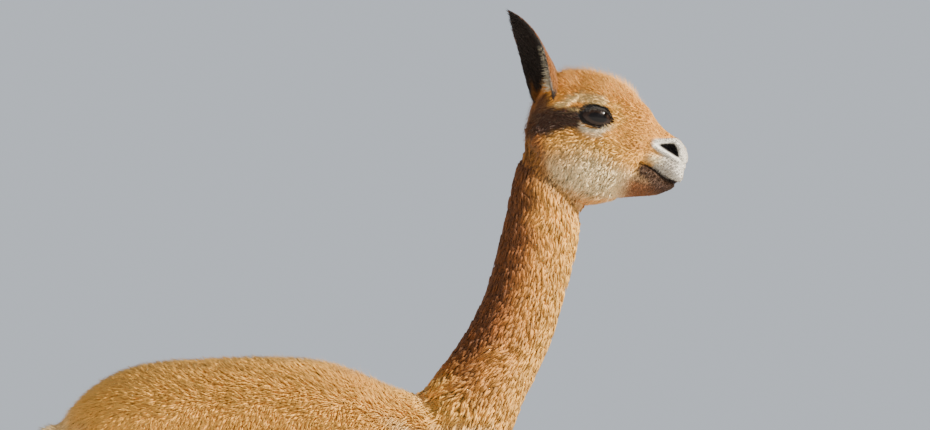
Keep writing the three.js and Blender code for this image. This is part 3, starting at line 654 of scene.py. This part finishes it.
def face_colours(face, drift, fine):
    """The head, from places along the face, to the animal's left and square to the face."""
    u, v, w = face.T
    level_u = u * math.cos(HEAD_PITCH) + w * math.sin(HEAD_PITCH)
    level_w = w * math.cos(HEAD_PITCH) - u * math.sin(HEAD_PITCH)
    side_on = ramp(np.abs(v), 0.012, 0.024)
    # A dark band from behind the eye to the ear: partly the coat's own darker brown, partly painted shadow of
    # the brow and ear.
    dark_band_and_shadow = (ramp(level_w + fine, 0.006, 0.024) * ramp(level_w + fine, 0.061, 0.049)
            * ramp(level_u + fine, -0.034, 0.004) * ramp(level_u, 0.084, 0.064))
    forward, up, outward = in_eye(face, np.sign(v))
    gap = slit(forward, up)
    over = from_line(face, (0.028, 0.0680), (0.045, 0.0745), (0.062, 0.0815), (0.082, 0.0850))
    under = (ramp(-gap + fine * 0.5, 0.0040, 0.0065) * ramp(-gap + fine * 0.4, 0.0200, 0.0100)
             * ramp(up, -0.001, -0.008) * ramp(forward, -0.024, -0.012) * ramp(forward, 0.040, 0.024)
             * (outward > 0))
    front = from_line(face, (0.110, 0.050), (0.114, 0.066), (0.106, 0.080))
    mouth_far, mouth_above = from_mouth(face)
    over_mouth = ramp(mouth_above, -0.004, 0.001)
    bridge = ramp(w, 0.030, 0.046) * ramp(np.abs(v), 0.016, 0.004)
    lips = ramp(u - 0.35 * (w - 0.02) + fine * 2 - 0.020 * bridge, 0.176, 0.192) * over_mouth
    rim_of_nostril = ramp(nostril(face), 0.0085, 0.0055) * ramp(w, 0.018, 0.030) * ramp(u, 0.166, 0.176)
    nose = ramp(u + fine, 0.208, 0.224) * over_mouth * ramp(np.abs(v), 0.003, 0.010)
    cleft = ramp(np.abs(v), 0.0035, 0.0008) * ramp(w, 0.036, 0.028) * ramp(u, 0.206, 0.214)
    lower = (mouth_above < 0.001) * ramp(mouth_far, 0.036, 0.014) * ramp(u + fine, 0.148, 0.162)
    # The dark rims of the lids: their own near-black skin, widened on top by painted shadow of the brow.
    lid = ramp(gap + fine * 0.4 + 0.002 * ramp(up, 0.0, 0.010), -0.0066, -0.0034) * (outward > 0)
    ear_root = blob(face, (-0.008, 0.046, 0.066), (0.016, 0.020, 0.018))
    return layered(
        ORANGE,
        (GOLD, ramp(u + drift, 0.05, 0.12) * 0.45),
        (RUSSET, ramp(u + drift, 0.10, 0.15) * ramp(w, 0.02, 0.04) * 0.22),
        (SAND, blob(face, (0.09, 0.05, 0.010), (0.07, 0.05, 0.026)) * 0.7),
        (CREAM, ramp(w + drift, 0.010, -0.030) * ramp(u, -0.02, 0.04) * 0.8),
        (ORANGE, ramp(w + fine, -0.044, -0.066) * 0.7),
        # the back of the head and nape, darkened partly to their own russet and partly as painted shade away
        # from the light
        (RUSSET, ramp(level_u, 0.026, 0.004) * 0.85),
        (UMBER, ramp(level_u, 0.012, -0.008) * ramp(w, 0.09, 0.07) * 0.6),
        # the dark band behind the eye, part coat colour and part painted shadow of the brow and ear
        (UMBER, dark_band_and_shadow * side_on),
        (BROW, ramp(over + fine * 1.5, 0.0135, 0.0020) * side_on),
        (UNDER_EYE, under * 0.85),
        (SAND, ramp(front + fine, 0.014, 0.002) * side_on * 0.6),
        (RUSSET, blob(face, (0.146, 0.03, 0.030), (0.020, 0.03, 0.006)) * 0.5),
        # painted shade under the chin and jaw
        (RUSSET, ramp(u, 0.125, 0.16) * ramp(w, -0.008, -0.026) * 0.95),
        (UMBER, ramp(u, 0.130, 0.17) * ramp(w, -0.010, -0.030) * 0.55),
        (GREY, lips),
        (CREAM, blob(face, (0.180, 0.02, 0.018), (0.012, 0.02, 0.008)) * 0.9),
        (WHITE, rim_of_nostril),
        (WHITE, nose * 0.8),
        # painted shade in the cleft of the upper lip
        (UMBER, cleft * 0.6),
        # the lower lip: its own darker skin, with painted shadow from the upper lip that overhangs it
        (UMBER, lower * 0.95),
        (BLACK, lower * 0.35),
        # painted shade in the line between the lips
        (BLACK, ramp(mouth_far, 0.0042, 0.0012) * 0.9),
        # painted shade in the hollow of the nostril
        (BLACK, ramp(nostril(face), 0.0012, -0.0012) * ramp(u, 0.165, 0.178)),
        (BLACK, lid),
        # painted shade around the root of the ear, joining the darker nape
        (UMBER, ramp(ear_root, 0.2, 0.6) * 0.8))


def ear_colours(face, normals):
    """Russet to umber outside, with a grey edge along the front rim; the hollow within is painted near black
    as shade.
    """
    share, across, _, hollow, _ = in_ear(face)
    inside = ramp((normals @ np.array(head_turn) * hollow).sum(axis=1), 0.0, 0.4)
    edge = ramp(across, 0.013, 0.018) * ramp(share, 0.7, 0.1)
    return layered(
        ORANGE,
        (RUSSET, 0.6 + 0.4 * ramp(share, 0.0, 0.5)),
        (UMBER, 0.55 + 0.4 * ramp(share, 0.6, 1.0)),
        # painted shade: the hollow of the cup near black
        (BLACK, inside * 0.96),
        (GREY, inside * edge * 0.3))


def markings(points, normals, ear):
    """The colour of the coat at places of the hide, whose part of an ear is given, 0 or 1."""
    face = in_head(points)
    drift = wander(points, 0.12, 5) * 0.015
    fine = wander(points, 0.016, 6) * 0.003
    colour = mix(body_colours(points, normals, drift, fine), face_colours(face, drift, fine),
                 head_share(points))
    return np.clip(mix(colour, ear_colours(face, normals), ear), 0, 1)


def paint(mesh, colour):
    attribute = mesh.attributes.new("coat", "FLOAT_COLOR", "POINT")
    attribute.data.foreach_set("color", np.column_stack([colour, np.ones(len(colour))]).ravel())


paint(hide.data, markings(coordinates(hide.data), directions(hide.data), ear_points))


def set_inputs(node, values):
    for name, value in values.items():
        node.inputs[name].default_value = value


def new_finish(name, values):
    """A material with these values on its shader; also its nodes, its links and the shader."""
    finish = bpy.data.materials.new(name)
    finish.use_nodes = True
    nodes = finish.node_tree.nodes
    set_inputs(nodes["Principled BSDF"], values)
    return finish, nodes, finish.node_tree.links, nodes["Principled BSDF"]


def fleece_finish(name, grain, depth, dark, light):
    """Hair that takes its colour from the coat attribute, flecked by fine noise that also lifts it."""
    finish, nodes, links, shader = new_finish(name, {
        "Roughness": 0.7, "Specular IOR Level": 0.3, "Sheen Weight": 0.1, "Sheen Roughness": 0.45,
        "Sheen Tint": (1.0, 0.86, 0.66, 1)})
    place = nodes.new("ShaderNodeTexCoord")
    noise = nodes.new("ShaderNodeTexNoise")
    set_inputs(noise, {"Scale": grain, "Detail": 4})
    links.new(place.outputs["Object"], noise.inputs["Vector"])
    shade = nodes.new("ShaderNodeMapRange")
    set_inputs(shade, {"From Min": 0.3, "From Max": 0.7, "To Min": dark, "To Max": light})
    links.new(noise.outputs["Fac"], shade.inputs["Value"])
    coat = nodes.new("ShaderNodeAttribute")
    coat.attribute_name = "coat"
    scale = nodes.new("ShaderNodeVectorMath")
    scale.operation = "SCALE"
    links.new(coat.outputs["Color"], scale.inputs[0])
    links.new(shade.outputs["Result"], scale.inputs["Scale"])
    links.new(scale.outputs["Vector"], shader.inputs["Base Color"])
    bump = nodes.new("ShaderNodeBump")
    set_inputs(bump, {"Strength": 0.5, "Distance": depth})
    links.new(noise.outputs["Fac"], bump.inputs["Height"])
    links.new(bump.outputs["Normal"], shader.inputs["Normal"])
    return finish


hide.data.materials.append(fleece_finish("hide", 420, 0.002, 0.66, 0.98))
tuft_finish = fleece_finish("fleece", 600, 0.0004, 0.88, 1.12)


# COAT
# Fine straight fleece on trunk and tail, curled locks on neck and cheeks, wavy wool on the shoulders, short
# bristles on face, ears and legs, and thin guard hairs that stand off everywhere. Each tuft is a closed
# tapered blade that leaves the skin and lies the way the hair grows, in clumps whose tips draw together.
def on_hide(count, density, seed):
    """That many places spread over the hide by area and by the density of the coat there."""
    mesh = hide.data
    mesh.calc_loop_triangles()
    corners = np.empty(len(mesh.loop_triangles) * 3, dtype=int)
    mesh.loop_triangles.foreach_get("vertices", corners)
    loops = np.empty(len(mesh.loop_triangles) * 3, dtype=int)
    mesh.loop_triangles.foreach_get("loops", loops)
    corners, loops = corners.reshape(-1, 3), loops.reshape(-1, 3)
    at, out = coordinates(mesh), directions(mesh)
    flat = np.empty(len(mesh.loops) * 2, dtype=np.float32)
    mesh.uv_layers["OFBake"].data.foreach_get("uv", flat)
    unwrap = flat.reshape(-1, 2)
    a, b, c = (at[corners[:, k]] for k in range(3))
    area = np.linalg.norm(np.cross(b - a, c - a), axis=1) / 2
    facing = unit(out[corners].sum(axis=1))
    total = np.cumsum(area * density((a + b + c) / 3, facing, ear_points[corners].mean(axis=1)))
    draw = np.random.default_rng(seed)
    picks = np.searchsorted(total, (np.arange(count) + draw.uniform(0, 1, count)) / count * total[-1])
    picks = np.minimum(picks, len(corners) - 1)
    s, t = draw.uniform(size=(2, count))
    s, t = np.where(s + t > 1, 1 - s, s), np.where(s + t > 1, 1 - t, t)
    shares = np.column_stack([1 - s - t, s, t])

    def blend(values, index):
        return (values[index[picks]] * shares[:, :, None]).sum(axis=1)

    return (blend(at, corners), unit(blend(out, corners)), blend(unwrap, loops),
            ear_points[corners[picks]].mean(axis=1))


def lie(points, normals, ear):
    """The way the hair lies: back along the spine and face, down the flanks, neck, rump, cheeks and legs."""
    x, _, z = in_body(points).T
    face = in_head(points)
    ones = np.ones(len(points))
    flank = ramp(normals[:, 2], 0.95, 0.2)
    way = np.column_stack([-ones + 0.62 * flank, 0 * ones, -1.0 * flank])
    rump = np.column_stack([-0.25 * ones, 0 * ones, -ones])
    way += (rump - way) * ramp(x, -0.27, -0.37)[:, None]
    climb = ramp(z, 0.80, 1.05)
    down_neck = np.column_stack([-0.75 + 0.6 * climb, 0 * ones, -0.7 - 0.28 * climb])
    down = np.column_stack([-0.06 * ones, 0 * ones, -ones])
    low_cheek = np.maximum(ramp(face[:, 2], 0.05, -0.02), ramp(face[:, 0], 0.035, -0.010))
    on_face = from_head(np.column_stack([-ones + 0.75 * low_cheek, 0 * ones, 0.1 - low_cheek]))
    for share, own in ((neck_share, down_neck), (leg_share, down), (tail_share, down), (head_share, on_face)):
        way = way + (own - way) * share(points)[:, None]
    way = way + (from_head(in_ear(face)[2]) - way) * ear[:, None]
    stray = (0.25 - 0.13 * leg_share(points))[:, None]
    way = way + stray * np.column_stack([wander(points, 0.05, seed) for seed in (21, 22, 23)])
    return unit(square_to(normals, way))


CURL = [(0, -0.2, 0.7), (0.45, 0.9, 1.0), (1.0, 1.0, 0)]  # share of the length, height, width
BRISTLE = [(0, -0.25, 1.0), (1.0, 1.0, 0)]
BLADE = [(0.5, 0), (0, 0.45), (-0.5, 0)]  # the three points of a ring, in widths aside and outward
PATCH = 0.003  # how wide a tuft's own patch of the unwrap is
TIP_TONE = 1.08  # brightness of a tuft's tip; at its root it is as deep as given, which is painted shade deep in the coat


def blades(name, roots, normals, ways, lengths, widths, lifts, gathers, unwrap, colours, shape=CURL,
           deep=0.70):
    """One mesh of tufts. Each has rings of three points and a tip, a patch of OFBake, and its colour.

    A tuft runs its way from its root, rises along the normal by its lift and leans to where it gathers."""
    count = len(roots)
    side = np.cross(normals, ways)
    rings = len(shape) - 1
    each = rings * 3 + 1
    lengths = np.minimum(lengths, (roots[:, 2] - 0.001) / np.maximum(-ways[:, 2], 0.001))
    place = np.empty((count, each, 3))
    shade = np.empty((count, each, 3))
    patch = np.empty((count, each, 2))
    for j, (along, high, wide) in enumerate(shape):
        middle = (roots + ways * (lengths * along)[:, None] + normals * (lifts * high)[:, None]
                  + gathers * along ** 2)
        # each tuft darker towards its root: painted shade deep in the coat
        tone = deep + (TIP_TONE - deep) * along
        for k, (aside, up) in enumerate(BLADE if wide else [(0, 0)]):
            place[:, 3 * j + k] = (middle + side * (aside * wide * widths)[:, None]
                                   + normals * (up * wide * widths)[:, None])
            shade[:, 3 * j + k] = colours * tone
            patch[:, 3 * j + k] = unwrap + PATCH * np.array([aside * max(wide, 0.2), along - 0.5])
    place[:, :, 2] = np.maximum(place[:, :, 2], 0.0005)
    faces = [(2, 1, 0)]
    for j in range(rings - 1):
        for k in range(3):
            a, b = 3 * j + k, 3 * j + (k + 1) % 3
            faces += [(a, b, b + 3), (a, b + 3, a + 3)]
    last = 3 * (rings - 1)
    faces += [(last + k, last + (k + 1) % 3, each - 1) for k in range(3)]
    faces = np.array(faces)
    index = (faces[None] + (np.arange(count) * each)[:, None, None]).reshape(-1, 3)
    mesh = bpy.data.meshes.new(name)
    mesh.vertices.add(count * each)
    mesh.vertices.foreach_set("co", place.ravel())
    mesh.loops.add(index.size)
    mesh.loops.foreach_set("vertex_index", index.ravel())
    mesh.polygons.add(len(index))
    mesh.polygons.foreach_set("loop_start", np.arange(len(index)) * 3)
    mesh.polygons.foreach_set("use_smooth", np.ones(len(index), dtype=bool))
    mesh.update()
    layer = mesh.uv_layers.new(name="OFBake")
    layer.data.foreach_set("uv", patch.reshape(-1, 2)[index.ravel()].ravel())
    paint(mesh, shade.reshape(-1, 3))
    mesh.materials.append(tuft_finish)
    piece = bpy.data.objects.new(name, mesh)
    bpy.context.scene.collection.objects.link(piece)
    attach(piece, "root")


def gather(roots, reach, seed):
    """For each tuft the way to the middle of its clump, 12 mm at most, that draws the tips together."""
    draw = np.random.default_rng(seed)
    middles = roots[draw.uniform(size=len(roots)) < 1 / reach]
    tree = KDTree(len(middles))
    for number, middle in enumerate(middles):
        tree.insert(middle, number)
    tree.balance()
    own = np.array([tree.find(root)[1] for root in roots])
    inward = middles[own] - roots
    far = np.linalg.norm(inward, axis=1)
    return inward * np.minimum(1, 0.012 / np.maximum(far, 0.001))[:, None], own


def bare(points):
    """0 where no tuft grows: between the lids and on their rims, in the nostrils and on the lips' edge."""
    face = in_head(points)
    forward, up, outward = in_eye(face, np.sign(face[:, 1]))
    eye = (slit(forward, up) > -0.0022) & (outward > 0)
    hole = (nostril(face) < 0.002) & (face[:, 0] > 0.165)
    lips = from_mouth(face)[0] < 0.002
    return np.where(((eye | hole | lips) & (head_share(points) > 0.5)) | (points[:, 2] < 0.005), 0.0, 1.0)


def short(points):
    """Where the coat is short: face, ears and legs."""
    return np.clip(head_share(points) + leg_share(points), 0, 1)


def fluff(points):
    """Crown, forehead and nape, where fine hair stands off the outline."""
    u, _, w = in_head(points).T
    crown = ramp(w, 0.085, 0.100) * ramp(u, 0.150, 0.120)
    nape = ramp(u, 0.004, -0.014) * ramp(w, 0.085, 0.07)
    return np.clip(crown + 0.4 * nape, 0, 1) * head_share(points)


def cheek_locks(points):
    """The side of the jaw, where the hair stands in small upright locks; the gaps between them are darkened
    as painted shade.
    """
    u, v, w = in_head(points).T
    return ramp(w, 0.035, 0.005) * ramp(u, 0.135, 0.09) * ramp(np.abs(v), 0.01, 0.03) * head_share(points)


def spread(name, count, where, seed, length, width, lift, per_piece=48000, draw_in=0.6, shape=CURL,
           clump=10, deep=0.70, pale=0.0, uneven=0.11):
    """Tufts over a part of the hide, in pieces small enough to keep all their faces.

    The length, width and lift are numbers or functions of the place."""
    def at_roots(value):
        return value(roots) if callable(value) else value

    roots, normals, unwrap, ear = on_hide(count, where, seed)
    draw = np.random.default_rng(seed + 100)
    ways = lie(roots, normals, ear)
    lengths = at_roots(length) * draw.uniform(0.7, 1.3, count)
    widths = at_roots(width) * draw.uniform(0.75, 1.25, count)
    gathers, own = gather(roots, clump, seed)
    gathers = square_to(normals, gathers)
    lifts = at_roots(lift) * draw.uniform(0.5, 1.0, count) * draw.uniform(0.75, 1.15, own.max() + 1)[own]
    cheek = cheek_locks(roots)
    fleck = draw.uniform(0, 1, own.max() + 1)[own]
    tone = draw.uniform(1 - uneven, 1 + uneven, count) * (1 - uneven + 2 * uneven * fleck)
    # painted shade: on the cheeks, some clumps are darkened, as the gaps between locks would be shaded
    tone *= 1 - cheek * 0.4 * ramp(fleck, 0.5, 0.1)
    colours = mix(markings(roots, normals, ear) * tone[:, None], CREAM, pale)
    order = np.argsort(roots[:, 0] + 2 * roots[:, 2])
    for number, start in enumerate(range(0, count, per_piece)):
        pick = order[start:start + per_piece]
        blades(f"{name}_{number + 1}", roots[pick], normals[pick], ways[pick], lengths[pick], widths[pick],
               lifts[pick], gathers[pick] * draw_in, unwrap[pick], colours[pick], shape, deep)


spread("fleece", 112000, lambda at, out, ear: (1 - 0.93 * neck_share(at)) * (1 - short(at)) * (1 - ear),
       seed=1, length=lambda at: by_region(at, 0.0150, 0.0150, 0.012, 0.012, 0.026),
       width=lambda at: by_region(at, 0.0029, 0.0029, 0.0022, 0.0022, 0.004), lift=coat_depth,
       shape=BRISTLE, deep=0.72, clump=4)
spread("neck_locks", 27000, lambda at, out, ear: neck_share(at) * (1 - head_share(at)) * (1 - ear),
       seed=6, length=0.027, width=0.0042, lift=lambda at: coat_depth(at) * 1.1, per_piece=19500,
       draw_in=0.9, deep=0.24, clump=5, uneven=0.27)
spread("bristles", 96000,
       lambda at, out, ear: (short(at) * by_region(at, 1, 2.0, 4.2 + 2 * muzzle(at), 1, 1)
                             * (1 - ear) * bare(at)),
       seed=2, length=lambda at: by_region(at, 0.013, 0.014, 0.0095 - 0.0052 * muzzle(at), 0.008, 0.010),
       width=lambda at: by_region(at, 0.0024, 0.0024,
                                  0.0016 - 0.0006 * muzzle(at) + 0.0006 * cheek_locks(at), 0.0019, 0.002),
       lift=lambda at: coat_depth(at) * (1 - 0.35 * muzzle(at) + 0.7 * cheek_locks(at)), shape=BRISTLE)
spread("cheek_locks", 4200, lambda at, out, ear: cheek_locks(at) * (1 - ear) * bare(at),
       seed=7, length=0.0125, width=0.0025, lift=0.0058, draw_in=0.9, deep=0.35, clump=4, uneven=0.16)
spread("ear_hair", 15000, lambda at, out, ear: (ear > 0.5) * 1.0,
       seed=3, length=0.0085, width=0.0012, lift=0.0016, draw_in=0.2, shape=BRISTLE)
spread("guard_hairs", 21000,
       lambda at, out, ear: (by_region(at, 0.5, 1.2, 1.5 * (1 - muzzle(at)) + 7 * fluff(at), 0.4, 1)
                             * bare(at) * (1 - ear)),
       seed=4, length=lambda at: by_region(at, 0.022, 0.022, 0.011 + 0.006 * fluff(at), 0.013, 0.03),
       width=lambda at: by_region(at, 0.0006, 0.0007, 0.00045 + 0.0003 * fluff(at), 0.0005, 0.0006),
       lift=lambda at: by_region(at, 0.019, 0.018, 0.008 + 0.008 * fluff(at), 0.006, 0.016),
       draw_in=0.2, shape=BRISTLE, deep=0.9, pale=0.08)


def ear_fringe(per_ear=330):
    """Pale hairs from the front rim of each ear, lying back across the lower half of the cup."""
    places, normals, unwrap, ear = on_hide(60000, lambda at, out, ear: (ear > 0.5) * 1.0, 41)
    face = in_head(places)
    share, across, up, hollow, front = in_ear(face)
    facing = ((normals @ np.array(head_turn)) * hollow).sum(axis=1)
    rim = np.flatnonzero((across > 0.009 - 0.004 * share) & (share > 0.0) & (share < 0.50) & (facing > -0.2))
    draw = np.random.default_rng(42)
    pick = draw.choice(rim, min(2 * per_ear, len(rim)), replace=False)
    ways = -front[pick] + up[pick] * draw.normal(0.35, 0.2, len(pick))[:, None] + 0.25 * hollow[pick]
    ways = unit(ways)
    outs = unit(square_to(ways, hollow[pick]))
    count = len(pick)
    fade = draw.uniform(0.35, 0.85, count) * (1.1 - 1.3 * share[pick])
    colours = mix(CREAM, GREY, draw.uniform(0, 1, count)) * fade[:, None]
    blades("ear_fringe", places[pick], from_head(outs), from_head(ways),
           draw.uniform(0.005, 0.020, count) * (1.15 - 1.5 * share[pick]), np.full(count, 0.0006),
           draw.uniform(0.001, 0.004, count), np.zeros((count, 3)), unwrap[pick], colours)


ear_fringe()


def woolly(points):
    """The foot of the neck and the shoulders, where the pale wool is longest."""
    x, _, z = in_body(points).T
    stray = wander(points, 0.05, 8) * 0.05
    return ramp(x + stray, 0.0, 0.20) * ramp(z + stray, 0.56, 0.70) * ramp(z + stray, 0.800, 0.690)


def wool(points, normals, ear):
    out = ramp(np.abs(normals[:, 1]) + normals[:, 0], 0.1, 0.4)
    return woolly(points) * (1 - short(points)) * (1 - ear) * out


WAVY = [(0, -0.2, 0.8), (0.33, 1.1, 1.0), (0.66, 0.7, 0.7), (1.0, 1.0, 0)]
spread("wool", 9000, wool, seed=5, length=lambda at: 0.012 + 0.022 * woolly(at), width=0.0019,
       lift=lambda at: 0.0070 + 0.003 * woolly(at), draw_in=1.1, shape=WAVY, clump=8, deep=0.45, uneven=0.2)


# BIB AND BRUSH
# Long cream locks hang from the lower breast, and longer hair covers the tail's back and sides and hangs
# past its tip. Each lock is a flat, closed blade that swings out from its root and tapers to a point.
HANGING = [(0.0, -0.4, 0.8), (0.3, 0.9, 1.0), (0.7, 0.8, 0.6), (1.0, 0.3, 0)]


def bib(points, normals, ear):
    x, y, z = in_body(points).T
    facing = ramp(normals[:, 0] + 0.7 * np.maximum(0, -normals[:, 2]), 0.25, 0.7)
    start = ramp(z + wander(points, 0.04, 9) * 0.03, 0.755, 0.56)
    return (facing * ramp(x, 0.14, 0.22) * ramp(np.abs(y), 0.11, 0.05) * start
            * ramp(z, 0.46, 0.5) * (1 - head_share(points)))


def brush(points, normals, ear):
    z = in_body(points)[:, 2]
    return tail_share(points) * ramp(z, 0.74, 0.70) * ramp(-normals[:, 0], -0.5, 0.1)


def hang(name, count, where, length, width, swing, seed):
    """Long locks that hang straight down, shorter and finer where they are sparse."""
    roots, normals, unwrap, ear = on_hide(count, where, seed)
    draw = np.random.default_rng(seed)
    outward = unit(normals * (1, 1, 0) + (0.05, 0, 0))
    down = np.tile((0.0, 0, -1), (count, 1))
    gathers, clump = gather(roots, 18, seed)
    sway = np.column_stack([draw.normal(0, 0.003, count), draw.normal(0, 0.003, count), np.zeros(count)])
    sway += draw.normal(0, 0.006, (clump.max() + 1, 3))[clump] * (1, 1, 0)
    tone = draw.uniform(0.84, 1.08, count) * draw.uniform(0.82, 1.08, clump.max() + 1)[clump]
    grown = 0.22 + 0.78 * where(roots, normals, ear)
    blades(name, roots, outward, down, length * grown * draw.uniform(0.45, 1.2, count),
           width * grown * draw.uniform(0.7, 1.3, count), swing * grown * draw.uniform(0.3, 1.4, count),
           gathers * 0.85 * (1, 1, 0) + sway, unwrap,
           mix(markings(roots, normals, ear), CREAM, 0.2) * tone[:, None], HANGING, 0.55)


hang("bib", 4800, bib, length=0.095, width=0.0034, swing=0.013, seed=11)
hang("brush", 2400, brush, length=0.075, width=0.0032, swing=0.006, seed=12)


# EYES
# Large glossy eyes, near black, with a brown iris and a level pupil behind a clear coat of tears. Each is
# a ball flattened outwards that fills the opening between the lids.
def eye_finish():
    finish, nodes, links, shader = new_finish("eye", {
        "Roughness": 0.3, "Specular IOR Level": 0.08, "Coat Weight": 0.45, "Coat IOR": 1.34,
        "Coat Roughness": 0.03})
    iris = nodes.new("ShaderNodeAttribute")
    iris.attribute_name = "iris"
    ring = nodes.new("ShaderNodeValToRGB")
    ring.color_ramp.elements[0].position = 0.30
    ring.color_ramp.elements[0].color = (0.004, 0.003, 0.003, 1)
    ring.color_ramp.elements[1].position = 0.42
    ring.color_ramp.elements[1].color = (0.030, 0.016, 0.010, 1)
    edge = ring.color_ramp.elements.new(0.85)
    edge.color = (0.010, 0.006, 0.005, 1)
    links.new(iris.outputs["Fac"], ring.inputs["Fac"])
    links.new(ring.outputs["Color"], shader.inputs["Base Color"])
    return finish


wet = eye_finish()
for name, side in (("right", -1), ("left", 1)):
    bpy.ops.object.select_all(action="DESELECT")
    bpy.ops.mesh.primitive_uv_sphere_add(segments=48, ring_count=32, radius=1)
    eye = bpy.context.object
    eye.name = "eyeball_" + name
    ball = coordinates(eye.data)
    forward, up, outward = ball[:, 0], ball[:, 1], ball[:, 2]
    level = np.hypot(forward * 0.62, up)
    iris = eye.data.attributes.new("iris", "FLOAT", "POINT")
    iris.data.foreach_set("value", np.where(outward > 0, level, 1.0))
    at = from_eye(forward * EYE_HALF[0], up * EYE_HALF[1], outward * EYE_HALF[2] + EYE_OUT, side)
    eye.data.vertices.foreach_set("co", placed(at).ravel())
    eye.data.update()
    edit(bpy.ops.mesh.normals_make_consistent, everything=True, inside=False)
    bpy.ops.object.shade_smooth()
    eye.data.materials.append(wet)
    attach(eye, "root")
    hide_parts("eye_" + name)


# LASHES
# Long dark lashes along each upper lid, fanned outward and a little down.
def lashes(per_eye=90):
    draw = np.random.default_rng(31)
    rows = []
    for side in (-1, 1):
        for _ in range(per_eye):
            along = draw.uniform(0.12, 0.97)
            line, hump = slit_line(along)
            up = line + SLIT[2] * hump + draw.uniform(0, 0.0015)
            fan = 0.9 * (along - 0.45) + draw.normal(0, 0.1)
            rows.append((side, along * SLIT[1] - SLIT[0], up, fan, draw.normal(-0.35, 0.12)))
    side, forward, up, fan, droop = np.array(rows).T
    count = len(rows)
    roots = placed(from_eye(forward, up, ball_front(forward, up) + 0.001, side))
    none = np.zeros(count)
    ways = unit(from_head(from_eye(fan, droop, none + 1, side) - from_eye(none, none, none, side)))
    outs = unit(square_to(ways, from_head(np.tile((0.0, 0, 1), (count, 1)))))
    blades("lashes", roots, outs, ways, draw.uniform(0.009, 0.015, count), np.full(count, 0.0006),
           np.full(count, -0.0015), np.zeros((count, 3)), np.full((count, 2), 0.5),
           np.tile(BLACK, (count, 1)))


lashes()


# NAILS
# Eight dark horn nails, one at the tip of each toe, worn smooth and streaked lengthwise.
horn, horn_nodes, horn_links, shader = new_finish("horn", {"Roughness": 0.42})
place = horn_nodes.new("ShaderNodeTexCoord")
stretch = horn_nodes.new("ShaderNodeMapping")
set_inputs(stretch, {"Scale": (60, 700, 700)})
streaks = horn_nodes.new("ShaderNodeTexNoise")
set_inputs(streaks, {"Scale": 1, "Detail": 3})
tones = horn_nodes.new("ShaderNodeValToRGB")
tones.color_ramp.elements[0].color = (0.012, 0.009, 0.008, 1)
tones.color_ramp.elements[1].color = (0.085, 0.065, 0.05, 1)
horn_links.new(place.outputs["Object"], stretch.inputs["Vector"])
horn_links.new(stretch.outputs["Vector"], streaks.inputs["Vector"])
horn_links.new(streaks.outputs["Fac"], tones.inputs["Fac"])
horn_links.new(tones.outputs["Color"], shader.inputs["Base Color"])
nail_nodes = [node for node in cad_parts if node.startswith("nail")]
nails = copy_of(*nail_nodes)
nails.name = "nails"
round_off(nails, 2)
bpy.ops.object.shade_smooth()
nails.data.materials.clear()
nails.data.materials.append(horn)
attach(nails, "root")
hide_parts(*nail_nodes)


# VIEW
# A plain pale floor, a warm key light from ahead and above on the camera's side, as in the open air, and a
# pale surround that fills the shadows. The camera stands beside the animal and looks up a little.
floor_finish = new_finish("floor", {"Base Color": (0.62, 0.61, 0.59, 1), "Roughness": 0.9})[0]
bpy.ops.object.select_all(action="DESELECT")
bpy.ops.mesh.primitive_plane_add(size=40)
floor = bpy.context.object
floor.name = "floor"
floor.data.materials.append(floor_finish)
surround = bpy.data.worlds.new("surround")
surround.use_nodes = True
set_inputs(surround.node_tree.nodes["Background"], {"Color": (0.74, 0.80, 0.88, 1), "Strength": 0.78})
bpy.context.scene.world = surround
KEY_FROM = Vector((0.92, -0.68, 0.86))
bpy.ops.object.light_add(type="SUN", location=KEY_FROM * 3)
key = bpy.context.object
key.rotation_euler = KEY_FROM.to_track_quat("Z", "Y").to_euler()
key.data.energy = 12.8
key.data.angle = math.radians(7)
key.data.color = (1.0, 0.95, 0.86)
LOOK_AT = Vector((0.256, 0, 1.079)) + Vector((SHIFT.x, 0, 0))
VIEW_WIDTH = 1.441  # what the picture's width takes in at the animal
DISTANCE = 6.0
AZIMUTH, ELEVATION = math.radians(-7), math.radians(-2)
away = Vector((math.sin(AZIMUTH) * math.cos(ELEVATION), -math.cos(AZIMUTH) * math.cos(ELEVATION),
               math.sin(ELEVATION)))
lens = bpy.data.cameras.new("camera")
lens.lens = lens.sensor_width * DISTANCE / VIEW_WIDTH
camera = bpy.data.objects.new("camera", lens)
bpy.context.scene.collection.objects.link(camera)
camera.location = LOOK_AT + away * DISTANCE
camera.rotation_euler = away.to_track_quat("Z", "Y").to_euler()
bpy.context.scene.camera = camera
